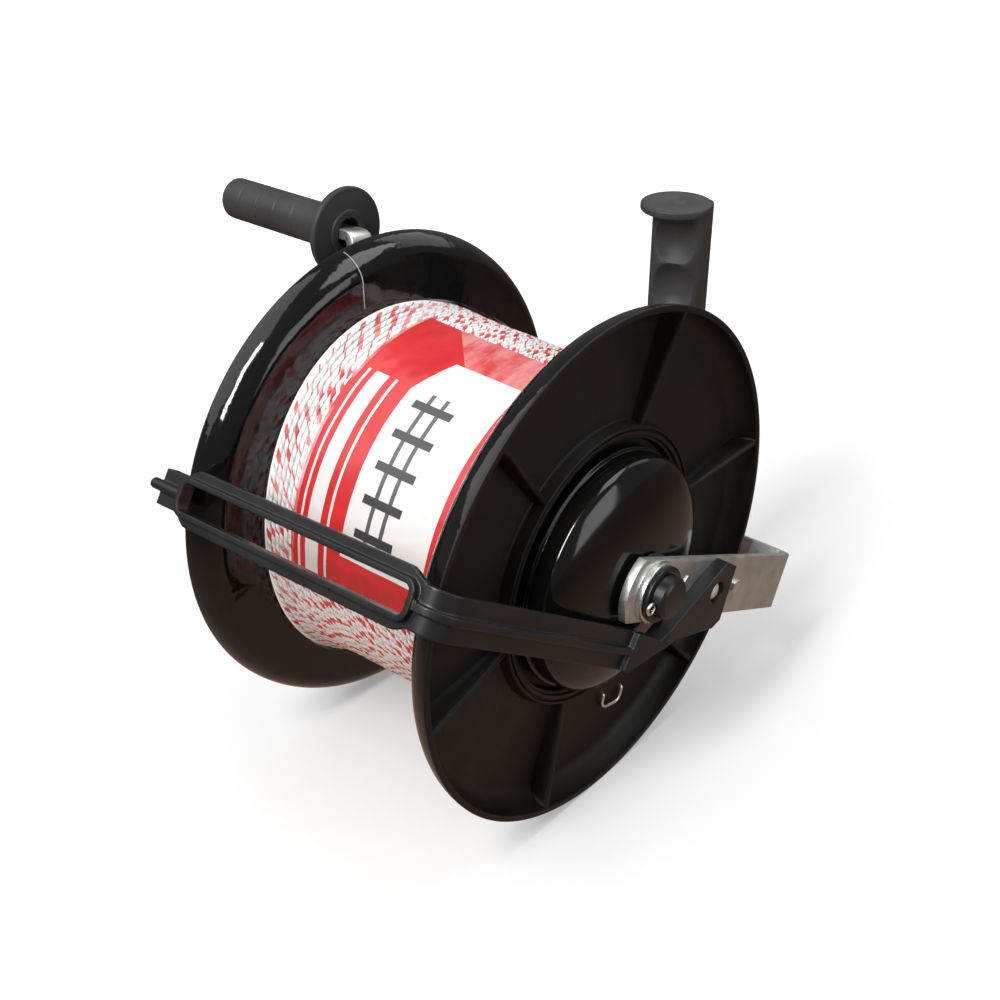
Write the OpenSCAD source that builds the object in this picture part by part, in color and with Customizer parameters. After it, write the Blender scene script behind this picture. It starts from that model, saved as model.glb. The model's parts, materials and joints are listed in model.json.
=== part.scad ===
// Electric fence reel: a drum of polywire on an axle, carried in a flat-bar frame with a
// carrying grip and a wire guide, and wound by a crank on the far end of the axle.
// Millimetres. X runs along the axle towards the split pin, Y to the back bar, Z up.
// The origin lies on the floor under the axle, midway between the flanges.

/* [Drum] */
// Outer radius of the flanges
flange_r = 125; // [115:1:140]
// Winding width between the flange discs
drum_w = 122; // [100:1:150]
// Thickness of the flange discs and lips
disc_t = 3; // [2:0.25:4]
// How far the lips flare out past the discs
lip_flare = 12; // [8:0.5:16]
// Radial depth of the flared lips
lip_depth = 12; // [8:0.5:16]
// Thickness of the radial ribs
rib_t = 3; // [2:0.25:5]
// Number of radial ribs on each flange
rib_count = 6; // [3:1:12]
// Angle of the first rib above the back
rib_angle = 8.5; // [0:0.5:60]
// Outer radius of the barrel under the wire
barrel_r = 50; // [42:1:60]
// Wall of the barrel
barrel_wall = 4; // [3:0.5:6]
// How far the hub domes reach past the barrel
dome_rim = 7.5; // [6:0.5:12]
// Height of the hub domes above the discs
dome_h = 28.5; // [24:0.5:36]
// Wall of the hub domes
dome_wall = 3; // [2:0.25:4]

/* [Axle] */
// Radius of the axle
axle_r = 10; // [8:0.5:12]
// Length of the axle past the retaining washer
axle_tail = 6; // [5:0.5:12]
// Diameter of the split pin's hole
split_pin_d = 3.2; // [2:0.1:4]
// Thickness of the steel thrust washers
thrust_t = 3; // [1:0.25:4]
// Thickness of the black retaining washer
retainer_t = 2; // [1:0.25:3]

/* [Frame] */
// Width of the flat bar
bar_w = 30; // [24:1:40]
// Thickness of the flat bar
bar_t = 4; // [3:0.5:6]
// Clear distance from the flanges to the back bar
back_gap = 13; // [8:1:30]
// Tilt of the frame's legs below the horizontal
frame_tilt = 25.5; // [0:0.5:40]
// Radius of the legs' ends round the axle
leg_end_r = 22; // [18:0.5:26]
// Distance from the axle to the guide bolt
guide_bolt_u = 49; // [44:1:56]
// Distance from the axle to the stop bolt
stop_bolt_u = 78; // [72:1:100]

/* [Carrying grip] */
// Place of the grip along the axle
grip_x = 23.5; // [0:0.5:40]
// Forward lean of the grip from the legs' normal
grip_lean = 26; // [15:1:35]
// Turn of the grip about its own length, towards the near side
grip_turn = 20; // [0:1:30]
// Height of the grip's top above the post's upper bend, along the grip
grip_reach = 134; // [130:1:150]
// Length of the grip
grip_len = 124; // [110:1:135]
// Width of the grip along the axle
grip_w = 27; // [24:0.5:32]
// Depth of the grip from front to back
grip_depth = 30; // [28:0.5:36]
// Radius of the disc at the grip's top
grip_disc_r = 17.5; // [16:0.5:22]
// Pitch of the finger scoops
scoop_pitch = 25; // [22:0.5:27]

/* [Wire guide] */
// Clear distance from the flanges to the guide plate's back
guide_gap = 2; // [2:0.5:15]
// Thickness of the guide's plate and leg
guide_t = 3; // [2:0.25:4]
// Width of the slotted plate
guide_w = 26; // [24:0.5:34]
// Width of the guide's leg
guide_leg_w = 19; // [16:0.5:24]
// Length of the guide's slot
slot_len = 135; // [110:1:140]
// Width of the guide's slot
slot_w = 12.4; // [10:0.2:14]
// Height of the raised rim round the slot
slot_rim_h = 3.5; // [2:0.25:5]
// Downward tilt of the guide's leg from the frame's legs
guide_tilt = 8; // [6:0.5:12]
// Droop of the guide's free end
guide_droop = 2.5; // [0:0.5:3]
// Angle at which the guide's leg closes in on the flange towards the slot
guide_slant = 5.8; // [0:0.2:6]

/* [Crank] */
// Distance from the axle to the crank grip
crank_r = 115.5; // [100:0.5:130]
// Backward angle of the crank from the vertical
crank_angle = 10; // [-180:1:180]
// Thickness of the crank's flat bar
crank_t = 5; // [4:0.5:6]
// Width of the crank's tang in the grip
tang_w = 12; // [10:0.5:14]
// Length of the crank grip
crank_grip_len = 88.5; // [80:0.5:120]
// Radius of the crank grip
crank_grip_r = 11; // [9:0.25:13]
// Radius of the round guard on the crank grip
guard_r = 23; // [16:0.5:26]

/* [Polywire] */
// Outer radius of the full winding
winding_r = 89.5; // [75:0.5:100]
// Diameter of the tube that stands for the outer layer's turns
wire_d = 4.2; // [3.4:0.1:4.3]
// Loops in the outer layer
wire_loops = 24; // [12:1:24]

/* [Hidden] */
$fn = 64;

// Clearances and the overrun of every cut
run_gap = 0.3;
fit_gap = 0.05;
seat_gap = 0.15;
over = 1;

// Stations along the axle, from the middle of the drum outwards
disc_in_x = drum_w / 2;
disc_out_x = disc_in_x + disc_t;
lip_x = disc_out_x + lip_flare;
dome_top_x = disc_out_x + dome_h;
bush_flange_t = 1.2;
leg_in_x = dome_top_x + run_gap + bush_flange_t;
leg_out_x = leg_in_x + bar_t;
thrust_out_x = leg_out_x + thrust_t;
retainer_x = thrust_out_x + run_gap;
split_pin_x = retainer_x + retainer_t + split_pin_d / 2 + fit_gap;
axle_end_x = retainer_x + retainer_t + axle_tail;
crank_in_x = thrust_out_x + run_gap;
crank_out_x = crank_in_x + crank_t;

// Dome's radius, and the hub ring, groove and bead round it
dome_r = barrel_r + dome_rim;
bead_w = 1.5;
bead_h = 6.7;
groove_w = 4;
hub_ring_t = 7;
hub_ring_h = 6;
hub_ring_draft = 1.5;
hub_ring_in_r = dome_r + bead_w + groove_w;
hub_ring_out_r = hub_ring_in_r + hub_ring_t;
rib_root_h = 5;
lip_start_r = flange_r - lip_depth;
lip_steps = 8;
dome_side_share = 0.5;
dome_steps = 10;

// Hub boss, screws and drive pin inside the drum
hub_bore_r = axle_r + fit_gap;
boss_r = 18;
boss_len = 16;
screw_count = 4;
screw_r = 2;
screw_len = 20;
screw_head_r = 4;
screw_head_h = 2.5;
end_ring_t = 12;
end_ring_len = 26;
screw_circle_r = barrel_r - end_ring_t / 2;
drive_pin_r = 2.5;

// Bush, washers and the leg's bore
bush_wall = 2.5;
bush_r = axle_r + bush_wall;
bush_flange_r = bush_r + bar_t;
thrust_rim = 4.75;
thrust_r = axle_r + thrust_rim;
retainer_rim = 3.5;
retainer_r = axle_r + retainer_rim;
axle_chamfer = 1.5;

// Back bar, bends and the frame's own stations from the axle
back_in_u = flange_r + back_gap;
back_out_u = back_in_u + bar_t;
bend_in_r = 3;
bend_out_r = bend_in_r + bar_t;

// Small bolts with hexagon heads and nuts
bolt_r = 3;
bolt_head_r = 5.2;
bolt_head_h = 3;
bolt_nut_h = 4.5;
stop_r = 2;
stop_head_r = 3.9;
counterbore_r = bolt_head_r + run_gap;

// Carrying grip's post, scoops and screw
post_w = 18;
post_t = 4;
post_seat = 95;
post_step_angle = 14.5;
post_lean = grip_lean + post_step_angle;
post_rise = 49;
post_lap = bar_w - 2 * seat_gap;
rivet_r = 3;
rivet_head_r = 5;
rivet_head_h = 2.2;
rivet_spread_share = 0.25;
grip_corner_r = 9;
scoop_r = 18;
scoop_depth = 5.5;
scoop_count = 4;
first_scoop_share = 0.46;
grip_disc_t = 4;
grip_disc_edge = 1.2;
grip_disc_shift = 5;
grip_disc_side = 2.5;
grip_screw_r = 2.5;
grip_screw_head_r = 4.5;
grip_screw_head_h = 3;
grip_screw_seat = 3 * grip_screw_head_h - grip_depth / 2;
grip_screw_up = 13;
grip_screw_bite = 8;

// Wire guide: stations in the guide's own axes, Y along its leg and Z across it
guide_back = flange_r + guide_gap;
guide_front = guide_back + guide_t;
guide_drop = 4.8;
guide_z = -bar_w / 2 - guide_leg_w / 2 - guide_drop;
guide_bar_rise = 0.8;
guide_bar_z = guide_z + guide_bar_rise;
guide_bend_r = 12;
guide_bend_steps = 20;
guide_lap = 2;
guide_bend_y = guide_bend_r - guide_front;
guide_bend_x = leg_out_x + (guide_bend_y * sin(guide_slant) - guide_bend_r) / cos(guide_slant);
slot_near_gap = 4;
slot_near_x = guide_bend_x - slot_near_gap;
slot_far_x = slot_near_x - slot_len;
slot_corner_r = 3;
slot_rim_w = 2.6;
guide_rib_w = 3.4;
guide_rib_h = 2.5;
shoulder_len = 10;
shoulder_steps = 6;
far_block_w = 16.5;
far_block_len = 17;
far_block_depth = 6;
far_nub_len = 5;
tab_t = 7;
tab_out_x = leg_out_x + tab_t;
tab_clear = 0.2;
// The tab's outline past the leg: shares of the guide bolt's distance along it, and of the bar across it
tab_shares = [
    [0.2, -0.74], [1.0, 0.46], [1.06, 0.5], [1.24, 0.44],
    [1.27, -0.5], [1.15, -0.64], [0.45, -0.75], [0.2, -0.96]
];
tab_slope_end_share = 0.3;

// Crank, its tenon and its grip
tenon_w = 12;
stud_r = 5;
stud_len = 11.5;
crank_washer_r = 10;
crank_washer_t = 1.5;
crank_nut_r = 9.5;
crank_nut_h = 8;
crank_hub_r = 14;
crank_root_w = 24;
crank_bend_in_r = 2;
crank_bend_out_r = crank_bend_in_r + crank_t;
shoulder_step = 1;
shoulder_w = tang_w + 2 * shoulder_step;
grip_bore_r = sqrt(tang_w * tang_w + crank_t * crank_t) / 2 + fit_gap;
guard_stand = 6.5;
guard_in_x = crank_out_x + guard_stand;
guard_t = 4;
guard_edge = 1;
guard_boss_r = 11.5;
guard_boss_h = 1;
shoulder_hole_r = sqrt(shoulder_w * shoulder_w + crank_t * crank_t) / 2 + run_gap;
shoulder_hole_depth = 5;
shoulder_x = guard_in_x - guard_boss_h + shoulder_hole_depth - run_gap;
crank_grip_end_x = guard_in_x + crank_grip_len;
crank_grip_edge = 2;
ring_groove_w = 1.2;
ring_groove_depth = 0.4;
ring_groove_shares = [0.36, 0.52, 0.68, 0.84];
plug_t = 3;
plug_gap = 4;
clip_t = 1.2;
clip_rim = 0.6;
clip_r = grip_bore_r + clip_rim;
clip_room_r = clip_r + run_gap;
tang_end_x = crank_grip_end_x - plug_t - plug_gap;
clip_x = tang_end_x - 2 * clip_t;

// Contact clip through the near flange
clip_wire_r = 1;
clip_leg_r = 0.8;
clip_turn = 210;
clip_span = 16;
clip_radius = (hub_ring_out_r + lip_start_r) / 2 - clip_span / 4;
clip_angle = -78;
clip_stand = 2;
clip_through = disc_t - run_gap;

// Winding: the outer layer is one tube over a plain core
wire_r = wire_d / 2;
wire_path_r = winding_r - wire_r;
wire_margin = 4.2;
wire_start_x = -disc_in_x + wire_margin;
wire_pitch = (drum_w - 2 * wire_margin) / wire_loops;
rings_per_loop = 24;
wire_sides = 6;
ring_angle = 360 / rings_per_loop;
wire_angle = -45;
wire_bend_r = 5;
wire_bend_steps = 4;
wire_end_depth = wire_bend_r + wire_d;
core_r = wire_path_r * cos(ring_angle / 2) - wire_r - run_gap;
core_pocket_r = wire_r + 3 * run_gap;

// Paper label round the winding
label_t = 0.4;
label_gap = 0.4;
label_far_share = 0.16;
label_near_share = 0.98;
label_top_angle = 87;
label_turn = 96;

// Draws a profile of the frame's Y and Z along X
module along_x(from_x, length) {
    translate([from_x, 0, 0])
        rotate([90, 0, 90])
            linear_extrude(length)
                children();
}

// Turns a profile of radius and station about the axle
module about_x() {
    rotate([90, 0, 90])
        rotate_extrude()
            children();
}

// Round bar along X between two stations
module bar_x(r, from_x, to_x) {
    translate([from_x, 0, 0])
        rotate([0, 90, 0])
            cylinder(r = r, h = to_x - from_x);
}

// Hexagon along X between two stations
module hex_x(r, from_x, to_x) {
    translate([from_x, 0, 0])
        rotate([0, 90, 0])
            cylinder(r = r, h = to_x - from_x, $fn = 6);
}

// Lifts the axle's axes to the reel's floor origin
module on_axle() {
    translate([0, 0, flange_r])
        children();
}

// The frame's axes: Y along the legs, Z across them
module in_frame() {
    on_axle()
        rotate([-frame_tilt, 0, 0])
            children();
}

// The guide's axes: Y along its leg, Z across it
module in_guide() {
    in_frame()
        rotate([-guide_tilt, 0, 0])
            children();
}

// The crank's axes: Z from the axle to the crank grip
module in_crank() {
    on_axle()
        rotate([-crank_angle, 0, 0])
            children();
}

// The carrying grip's axes: Z along the grip from the post's upper bend, Y to its back
post_bend_v = bar_w / 2 + post_t;
module in_grip() {
    in_frame()
        translate([grip_x, back_in_u - post_t / 2, post_bend_v])
            rotate([post_lean, 0, 0])
                translate([0, 0, post_rise])
                    rotate([grip_lean - post_lean, 0, 0])
                        children();
}
grip_top = grip_reach - post_t;
grip_bottom = grip_top - grip_len;

// Rectangle with round corners, centred
module rounded_rect(w, h, r) {
    square([w - 2 * r, h], center = true);
    square([w, h - 2 * r], center = true);
    for (sx = [-1, 1], sy = [-1, 1])
        translate([sx * (w / 2 - r), sy * (h / 2 - r)])
            circle(r = r);
}

// Frame: one bent flat bar

module frame_bracket() {
    color("silver")
        in_frame()
            difference() {
                translate([0, 0, -bar_w / 2])
                    linear_extrude(bar_w)
                        difference() {
                            bracket_outline(leg_out_x, back_out_u, bend_out_r);
                            bracket_outline(leg_in_x, back_in_u, bend_in_r);
                        }
                difference() {
                    translate([-leg_out_x - over, -leg_end_r - over, -bar_w / 2 - over])
                        cube([2 * (leg_out_x + over), leg_end_r + over, bar_w + 2 * over]);
                    bar_x(leg_end_r, -leg_out_x - 2 * over, leg_out_x + 2 * over);
                }
                bar_x(bush_r, -leg_out_x - over, leg_out_x + over);
                translate([0, guide_bolt_u, 0])
                    bar_x(bolt_r + seat_gap, leg_in_x - over, leg_out_x + over);
                translate([0, stop_bolt_u, 0])
                    bar_x(stop_r + seat_gap, leg_in_x - over, leg_out_x + over);
                post_rivet_places()
                    rotate([-90, 0, 0])
                        cylinder(r = rivet_r + fit_gap, h = bar_t + 2 * over + post_t);
            }
}

// Outline of the U in X and Y, open at the axle end
module bracket_outline(x, u, r) {
    translate([-x, -leg_end_r - over])
        square([2 * x, u - r + leg_end_r + over]);
    translate([-x + r, 0])
        square([2 * (x - r), u]);
    for (s = [-1, 1])
        translate([s * (x - r), u - r])
            circle(r = r);
}

// Places of the post's rivets, on the post's inner face
module post_rivet_places() {
    for (s = [-1, 1])
        translate([grip_x, back_in_u - post_t, s * rivet_spread_share * bar_w])
            children();
}

module bush(side) {
    color("dimgray")
        on_axle()
            mirror([side < 0 ? 1 : 0, 0, 0])
                difference() {
                    union() {
                        bar_x(bush_r - fit_gap, leg_in_x - bush_flange_t, leg_out_x);
                        bar_x(bush_flange_r, leg_in_x - bush_flange_t, leg_in_x);
                    }
                    bar_x(axle_r + fit_gap, leg_in_x - bush_flange_t - over, leg_out_x + over);
                }
}

module near_bush() {
    bush(1);
}

module far_bush() {
    bush(-1);
}

module thrust_washer(side) {
    color("gainsboro")
        on_axle()
            mirror([side < 0 ? 1 : 0, 0, 0])
                difference() {
                    bar_x(thrust_r, leg_out_x, thrust_out_x);
                    bar_x(axle_r + run_gap, leg_out_x - over, thrust_out_x + over);
                }
}

module near_thrust_washer() {
    thrust_washer(1);
}

module far_thrust_washer() {
    thrust_washer(-1);
}

// Wire guide

function smooth_step(t) = t * t * (3 - 2 * t);

// One edge of the slotted plate: a narrow end, a smooth shoulder and the full width
function shoulder_edge(x, from_w, to_w, run) = [
    for (i = [0 : shoulder_steps])
        let (t = i / shoulder_steps)
        [x + run * t, from_w / 2 + (to_w - from_w) / 2 * smooth_step(t)]
];

// Outline of the slotted plate in X and the guide's Z
module guide_plate_outline() {
    far_x = slot_far_x - shoulder_len / 2;
    near_x = guide_bend_x - shoulder_len;
    top = concat(
        [[slot_far_x - far_block_len, far_block_w / 2]],
        shoulder_edge(far_x, far_block_w, guide_w, shoulder_len),
        shoulder_edge(near_x, guide_w, guide_leg_w, shoulder_len),
        [[guide_bend_x, guide_leg_w / 2]]
    );
    bottom = [for (i = [len(top) - 1 : -1 : 0]) [top[i][0], -top[i][1]]];
    polygon(concat(top, bottom));
}

// Draws a profile of X and the guide's Z in the guide's plate, standing forward from its back
module on_guide_plate(from_y, depth) {
    translate([guide_bend_x, 0, guide_bar_z])
        rotate([0, -guide_droop, 0])
            translate([-guide_bend_x, -from_y, 0])
                rotate([90, 0, 0])
                    linear_extrude(depth)
                        children();
}

module slot_outline(grow) {
    translate([(slot_near_x + slot_far_x) / 2, 0])
        rounded_rect(slot_len + 2 * grow, slot_w + 2 * grow, slot_corner_r + grow);
}

module guide_plate() {
    rib_far_x = slot_far_x - far_block_len - far_nub_len;
    difference() {
        union() {
            on_guide_plate(guide_back, guide_t)
                guide_plate_outline();
            on_guide_plate(guide_back, guide_t + slot_rim_h)
                slot_outline(slot_rim_w);
            on_guide_plate(guide_back - far_block_depth + guide_t, far_block_depth)
                translate([slot_far_x - far_block_len, -far_block_w / 2])
                    square([far_block_len - slot_rim_w, far_block_w]);
            on_guide_plate(guide_back, guide_t + guide_rib_h)
                translate([slot_near_x + slot_corner_r, -guide_rib_w / 2])
                    square([guide_bend_x - slot_near_x - slot_corner_r, guide_rib_w]);
            translate([guide_bend_x, 0, guide_bar_z])
                rotate([0, -guide_droop, 0])
                    translate([-guide_bend_x, -guide_front, 0])
                        bar_x(guide_rib_w * 3 / 4, rib_far_x, slot_far_x - slot_rim_w / 2);
        }
        on_guide_plate(guide_back - over, guide_t + slot_rim_h + 2 * over)
            slot_outline(0);
    }
}

// One face of the leg in X and the guide's Y, from the plate round the bend to the leg's end
function leg_face(rise) = concat(
    [[guide_bend_x - guide_lap, -guide_front - rise]],
    [
        for (i = [0 : guide_bend_steps])
            let (t = -90 + (90 - guide_slant) * i / guide_bend_steps)
            [
                guide_bend_x + (guide_bend_r + rise) * cos(t),
                guide_bend_y + (guide_bend_r + rise) * sin(t)
            ]
    ],
    [[leg_out_x + rise * cos(guide_slant), -rise * sin(guide_slant)]]
);

// Bend and straight run of the leg, from the plate to the tab, with a rectangular section
module guide_strip(rise, depth, w) {
    translate([0, 0, guide_z - w / 2])
        linear_extrude(w)
            polygon(concat(leg_face(rise), reversed(leg_face(rise - depth))));
}

module guide_leg() {
    guide_strip(0, guide_t, guide_leg_w);
    guide_strip(guide_rib_h, guide_t + guide_rib_h, guide_rib_w);
}

// A point of the guide's leg, by its distance along the leg and across its middle, in the frame's axes
function leg_point(y, z) = [
    y * cos(guide_tilt) + (guide_z + z) * sin(guide_tilt),
    (guide_z + z) * cos(guide_tilt) - y * sin(guide_tilt)
];

// End tab, rebated under the bar's lower edge and bolted on its outer face
module guide_tab() {
    half_w = guide_leg_w / 2 - tab_clear;
    slope_u = leg_point(-guide_t, -half_w)[0];
    difference() {
        along_x(leg_out_x - guide_t, tab_t + guide_t)
            polygon(concat(
                [leg_point(-guide_t, half_w), leg_point(0, half_w)],
                [for (p = tab_shares) [p[0] * guide_bolt_u, p[1] * bar_w]],
                [leg_point(0, -half_w), leg_point(-guide_t, -half_w)]
            ));
        translate([0, 0, -2 * bar_w])
            linear_extrude(3 * bar_w)
                polygon([
                    [leg_out_x + guide_rib_h, slope_u - over],
                    [leg_out_x + guide_rib_h, slope_u],
                    [tab_out_x, tab_slope_end_share * guide_bolt_u],
                    [tab_out_x + over, tab_slope_end_share * guide_bolt_u],
                    [tab_out_x + over, slope_u - over]
                ]);
        translate([leg_in_x - over, -leg_end_r - over, -bar_w / 2 - tab_clear])
            cube([bar_t + over, back_out_u, bar_w + 2 * over]);
        translate([0, guide_bolt_u, 0]) {
            bar_x(bolt_r + seat_gap, leg_in_x, tab_out_x + over);
            bar_x(counterbore_r, tab_out_x - bolt_head_h - guide_rib_h, tab_out_x + over);
        }
    }
}

module guide_arm() {
    color("#1c1c1d") {
        in_guide() {
            guide_plate();
            guide_leg();
        }
        in_frame()
            guide_tab();
    }
}

// Hexagon bolt through the near leg, its head seated at one station
module leg_bolt(u, head_x, shank_r, head_r) {
    color("lightgray")
        in_frame()
            translate([0, u, 0]) {
                hex_x(head_r, head_x, head_x + bolt_head_h);
                bar_x(shank_r, leg_in_x - bolt_nut_h - over, head_x);
            }
}

module leg_nut(u, shank_r, head_r) {
    color("lightgray")
        in_frame()
            translate([0, u, 0])
                difference() {
                    hex_x(head_r, leg_in_x - bolt_nut_h, leg_in_x);
                    bar_x(shank_r + fit_gap, leg_in_x - bolt_nut_h - over, leg_in_x + over);
                }
}

module guide_bolt() {
    leg_bolt(guide_bolt_u, tab_out_x - bolt_head_h - guide_rib_h, bolt_r, bolt_head_r);
}

module guide_nut() {
    leg_nut(guide_bolt_u, bolt_r, bolt_head_r);
}

module stop_bolt() {
    leg_bolt(stop_bolt_u, leg_out_x, stop_r, stop_head_r);
}

module stop_nut() {
    leg_nut(stop_bolt_u, stop_r, stop_head_r);
}

// Carrying grip

// One face of the post along and across the frame's legs, from the back bar's lower edge to its top
function post_face(side) =
    let (u = back_in_u - post_t / 2)
    let (half_t = side * post_t / 2)
    let (run = grip_bottom + post_seat)
    let (upper_u = u - post_rise * sin(post_lean))
    let (upper_v = post_bend_v + post_rise * cos(post_lean))
    let (mitre = half_t / cos((post_lean - grip_lean) / 2))
    let (middle = (post_lean + grip_lean) / 2)
    [
        [u + half_t, bar_w / 2 - post_lap],
        [u + half_t, post_bend_v + half_t * tan(post_lean / 2)],
        [upper_u + mitre * cos(middle), upper_v + mitre * sin(middle)],
        [
            upper_u + half_t * cos(grip_lean) - run * sin(grip_lean),
            upper_v + half_t * sin(grip_lean) + run * cos(grip_lean)
        ]
    ];

module grip_post() {
    color("silver")
        difference() {
            in_frame()
                along_x(grip_x - post_w / 2, post_w)
                    polygon(concat(post_face(1), reversed(post_face(-1))));
            in_frame()
                post_rivet_places()
                    rotate([-90, 0, 0])
                        translate([0, 0, -over])
                            cylinder(r = rivet_r + fit_gap, h = post_t + bar_t);
            in_grip()
                translate([0, 0, grip_bottom + grip_screw_up])
                    rotate([90, 0, 0])
                        cylinder(r = grip_screw_r + seat_gap, h = post_t + 2 * over, center = true);
        }
}

module post_rivets() {
    color("gainsboro")
        in_frame()
            post_rivet_places()
                rotate([-90, 0, 0]) {
                    cylinder(r = rivet_r, h = post_t + bar_t);
                    translate([0, 0, -rivet_head_h])
                        cylinder(r = rivet_head_r, h = rivet_head_h);
                }
}

// Body of the grip with its finger scoops and end disc
module grip_body() {
    difference() {
        translate([0, 0, grip_bottom])
            linear_extrude(grip_len - grip_disc_t / 2)
                rounded_rect(grip_w, grip_depth, grip_corner_r);
        for (i = [0 : scoop_count - 1])
            translate([
                0,
                -grip_depth / 2 - scoop_r + scoop_depth,
                grip_top - grip_disc_t - (i + first_scoop_share) * scoop_pitch
            ])
                sphere(r = scoop_r);
    }
    translate([-grip_disc_side, -grip_disc_shift, grip_top - grip_disc_t])
        rotate_extrude()
            polygon([
                [0, 0],
                [grip_disc_r - grip_disc_edge, 0],
                [grip_disc_r, grip_disc_edge],
                [grip_disc_r, grip_disc_t - grip_disc_edge],
                [grip_disc_r - grip_disc_edge, grip_disc_t],
                [0, grip_disc_t]
            ]);
}

module carry_grip() {
    color("#232323")
        in_grip()
            difference() {
                rotate([0, 0, grip_turn])
                    grip_body();
                translate([-post_w / 2 - seat_gap, -post_t / 2 - seat_gap, grip_bottom - over])
                    cube([post_w + 2 * seat_gap, post_t + 2 * seat_gap, post_seat + over + seat_gap]);
                // The slot follows the post round its upper bend where the grip reaches down so far
                rotate([post_lean - grip_lean, 0, 0])
                    translate([-post_w / 2 - seat_gap, -post_t / 2 - seat_gap, -post_rise])
                        cube([post_w + 2 * seat_gap, post_t + 2 * seat_gap, post_rise]);
                translate([0, 0, grip_bottom + grip_screw_up])
                    rotate([90, 0, 0]) {
                        translate([0, 0, -grip_depth]) {
                            cylinder(r = grip_screw_r + fit_gap, h = grip_depth + grip_screw_bite);
                            cylinder(r = grip_screw_head_r + seat_gap, h = grip_depth + grip_screw_seat);
                        }
                    }
            }
}

module carry_grip_screw() {
    color("gainsboro")
        in_grip()
            translate([0, 0, grip_bottom + grip_screw_up])
                rotate([90, 0, 0]) {
                    translate([0, 0, grip_screw_seat])
                        cylinder(r = grip_screw_r, h = grip_screw_bite - grip_screw_seat - fit_gap);
                    translate([0, 0, grip_screw_seat - grip_screw_head_h])
                        cylinder(r = grip_screw_head_r, h = grip_screw_head_h);
                }
}

// Axle and what holds it

module axle() {
    color("#161616")
        on_axle()
            difference() {
                union() {
                    bar_x(axle_r, -crank_in_x, axle_end_x - axle_chamfer);
                    translate([axle_end_x - axle_chamfer, 0, 0])
                        rotate([0, 90, 0])
                            cylinder(r1 = axle_r, r2 = axle_r - axle_chamfer, h = axle_chamfer);
                    rotate([-crank_angle, 0, 0])
                        translate([-crank_out_x, -tenon_w / 2, -tenon_w / 2])
                            cube([crank_t + over, tenon_w, tenon_w]);
                    bar_x(stud_r, -crank_out_x - stud_len, -crank_out_x + over);
                }
                translate([split_pin_x, 0, 0])
                    rotate([90, 0, 0])
                        cylinder(r = split_pin_d / 2, h = 2 * (axle_r + over), center = true);
                drive_pin_place()
                    cylinder(r = drive_pin_r + fit_gap, h = 2 * (boss_r + over), center = true);
            }
}

// The drive pin crosses the far flange's boss
module drive_pin_place() {
    translate([-disc_in_x + boss_len / 2, 0, 0])
        children();
}

module drive_pin() {
    color("gainsboro")
        on_axle()
            drive_pin_place()
                cylinder(r = drive_pin_r, h = 2 * boss_r, center = true);
}

module retaining_washer() {
    color("#141414")
        on_axle()
            difference() {
                bar_x(retainer_r, retainer_x, retainer_x + retainer_t);
                bar_x(axle_r + seat_gap, retainer_x - over, retainer_x + retainer_t + over);
            }
}

// Bright split pin: an eye, a shank through the axle and two spread legs
module split_pin() {
    pin_r = split_pin_d / 2 - fit_gap;
    leg_r = pin_r / 2;
    eye_r = pin_r * 3 / 2;
    leg_len = axle_r / 2;
    leg_spread = 28;
    color("gainsboro")
        on_axle()
            translate([split_pin_x, 0, 0]) {
                rotate([90, 0, 0])
                    cylinder(r = pin_r, h = 2 * (axle_r + leg_r), center = true);
                translate([0, -axle_r - leg_r - eye_r, 0])
                    rotate([0, 90, 0])
                        rotate_extrude()
                            translate([eye_r, 0])
                                circle(r = leg_r);
                for (s = [-1, 1])
                    translate([0, axle_r + leg_r / 2, s * leg_r])
                        rotate([-90 + s * leg_spread, 0, 0])
                            cylinder(r = leg_r, h = leg_len);
            }
}

// Flanges, barrel and hub domes

// Points of a flared lip's curve at one depth into its wall, from the disc to the edge
function lip_curve(depth) = [
    for (i = [0 : lip_steps])
        let (t = 90 * i / lip_steps)
        [
            lip_start_r + (lip_depth - depth) * sin(t),
            disc_in_x + depth + (lip_x - disc_in_x - depth) * (1 - cos(t))
        ]
];

module flange_profile() {
    outer = lip_curve(disc_t);
    polygon(concat(
        [[hub_bore_r, disc_in_x]],
        lip_curve(0),
        [for (i = [len(outer) - 1 : -1 : 0]) outer[i]],
        [
            [hub_ring_out_r, disc_out_x],
            [hub_ring_out_r - hub_ring_draft, disc_out_x + hub_ring_h],
            [hub_ring_in_r, disc_out_x + hub_ring_h],
            [hub_ring_in_r, disc_out_x],
            [hub_bore_r, disc_out_x]
        ]
    ));
    translate([hub_bore_r, disc_in_x - boss_len])
        square([boss_r - hub_bore_r, boss_len + disc_t]);
}

// A rib stands on the disc from the hub ring to the lip's edge
module flange_rib() {
    middle = lip_curve(disc_t / 2);
    root_r = hub_ring_out_r - hub_ring_draft;
    translate([0, rib_t / 2, 0])
        rotate([90, 0, 0])
            linear_extrude(rib_t)
                polygon(concat(
                    [[root_r, disc_out_x - disc_t / 2]],
                    [for (i = [0 : lip_steps - 1]) middle[i]],
                    [[root_r, disc_out_x + rib_root_h]]
                ));
}

module screw_places() {
    for (i = [0 : screw_count - 1])
        rotate([0, 0, 360 * (i + 1 / 2) / screw_count])
            translate([screw_circle_r, 0, 0])
                children();
}

// A flange stands on the drum's axis, its outside upwards
module flange_body() {
    difference() {
        union() {
            rotate_extrude()
                flange_profile();
            for (i = [0 : rib_count - 1])
                rotate([0, 0, rib_angle + 360 * i / rib_count])
                    flange_rib();
        }
        screw_places()
            translate([0, 0, disc_in_x - over])
                cylinder(r = screw_r + seat_gap, h = disc_t + 2 * over);
    }
}

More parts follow.
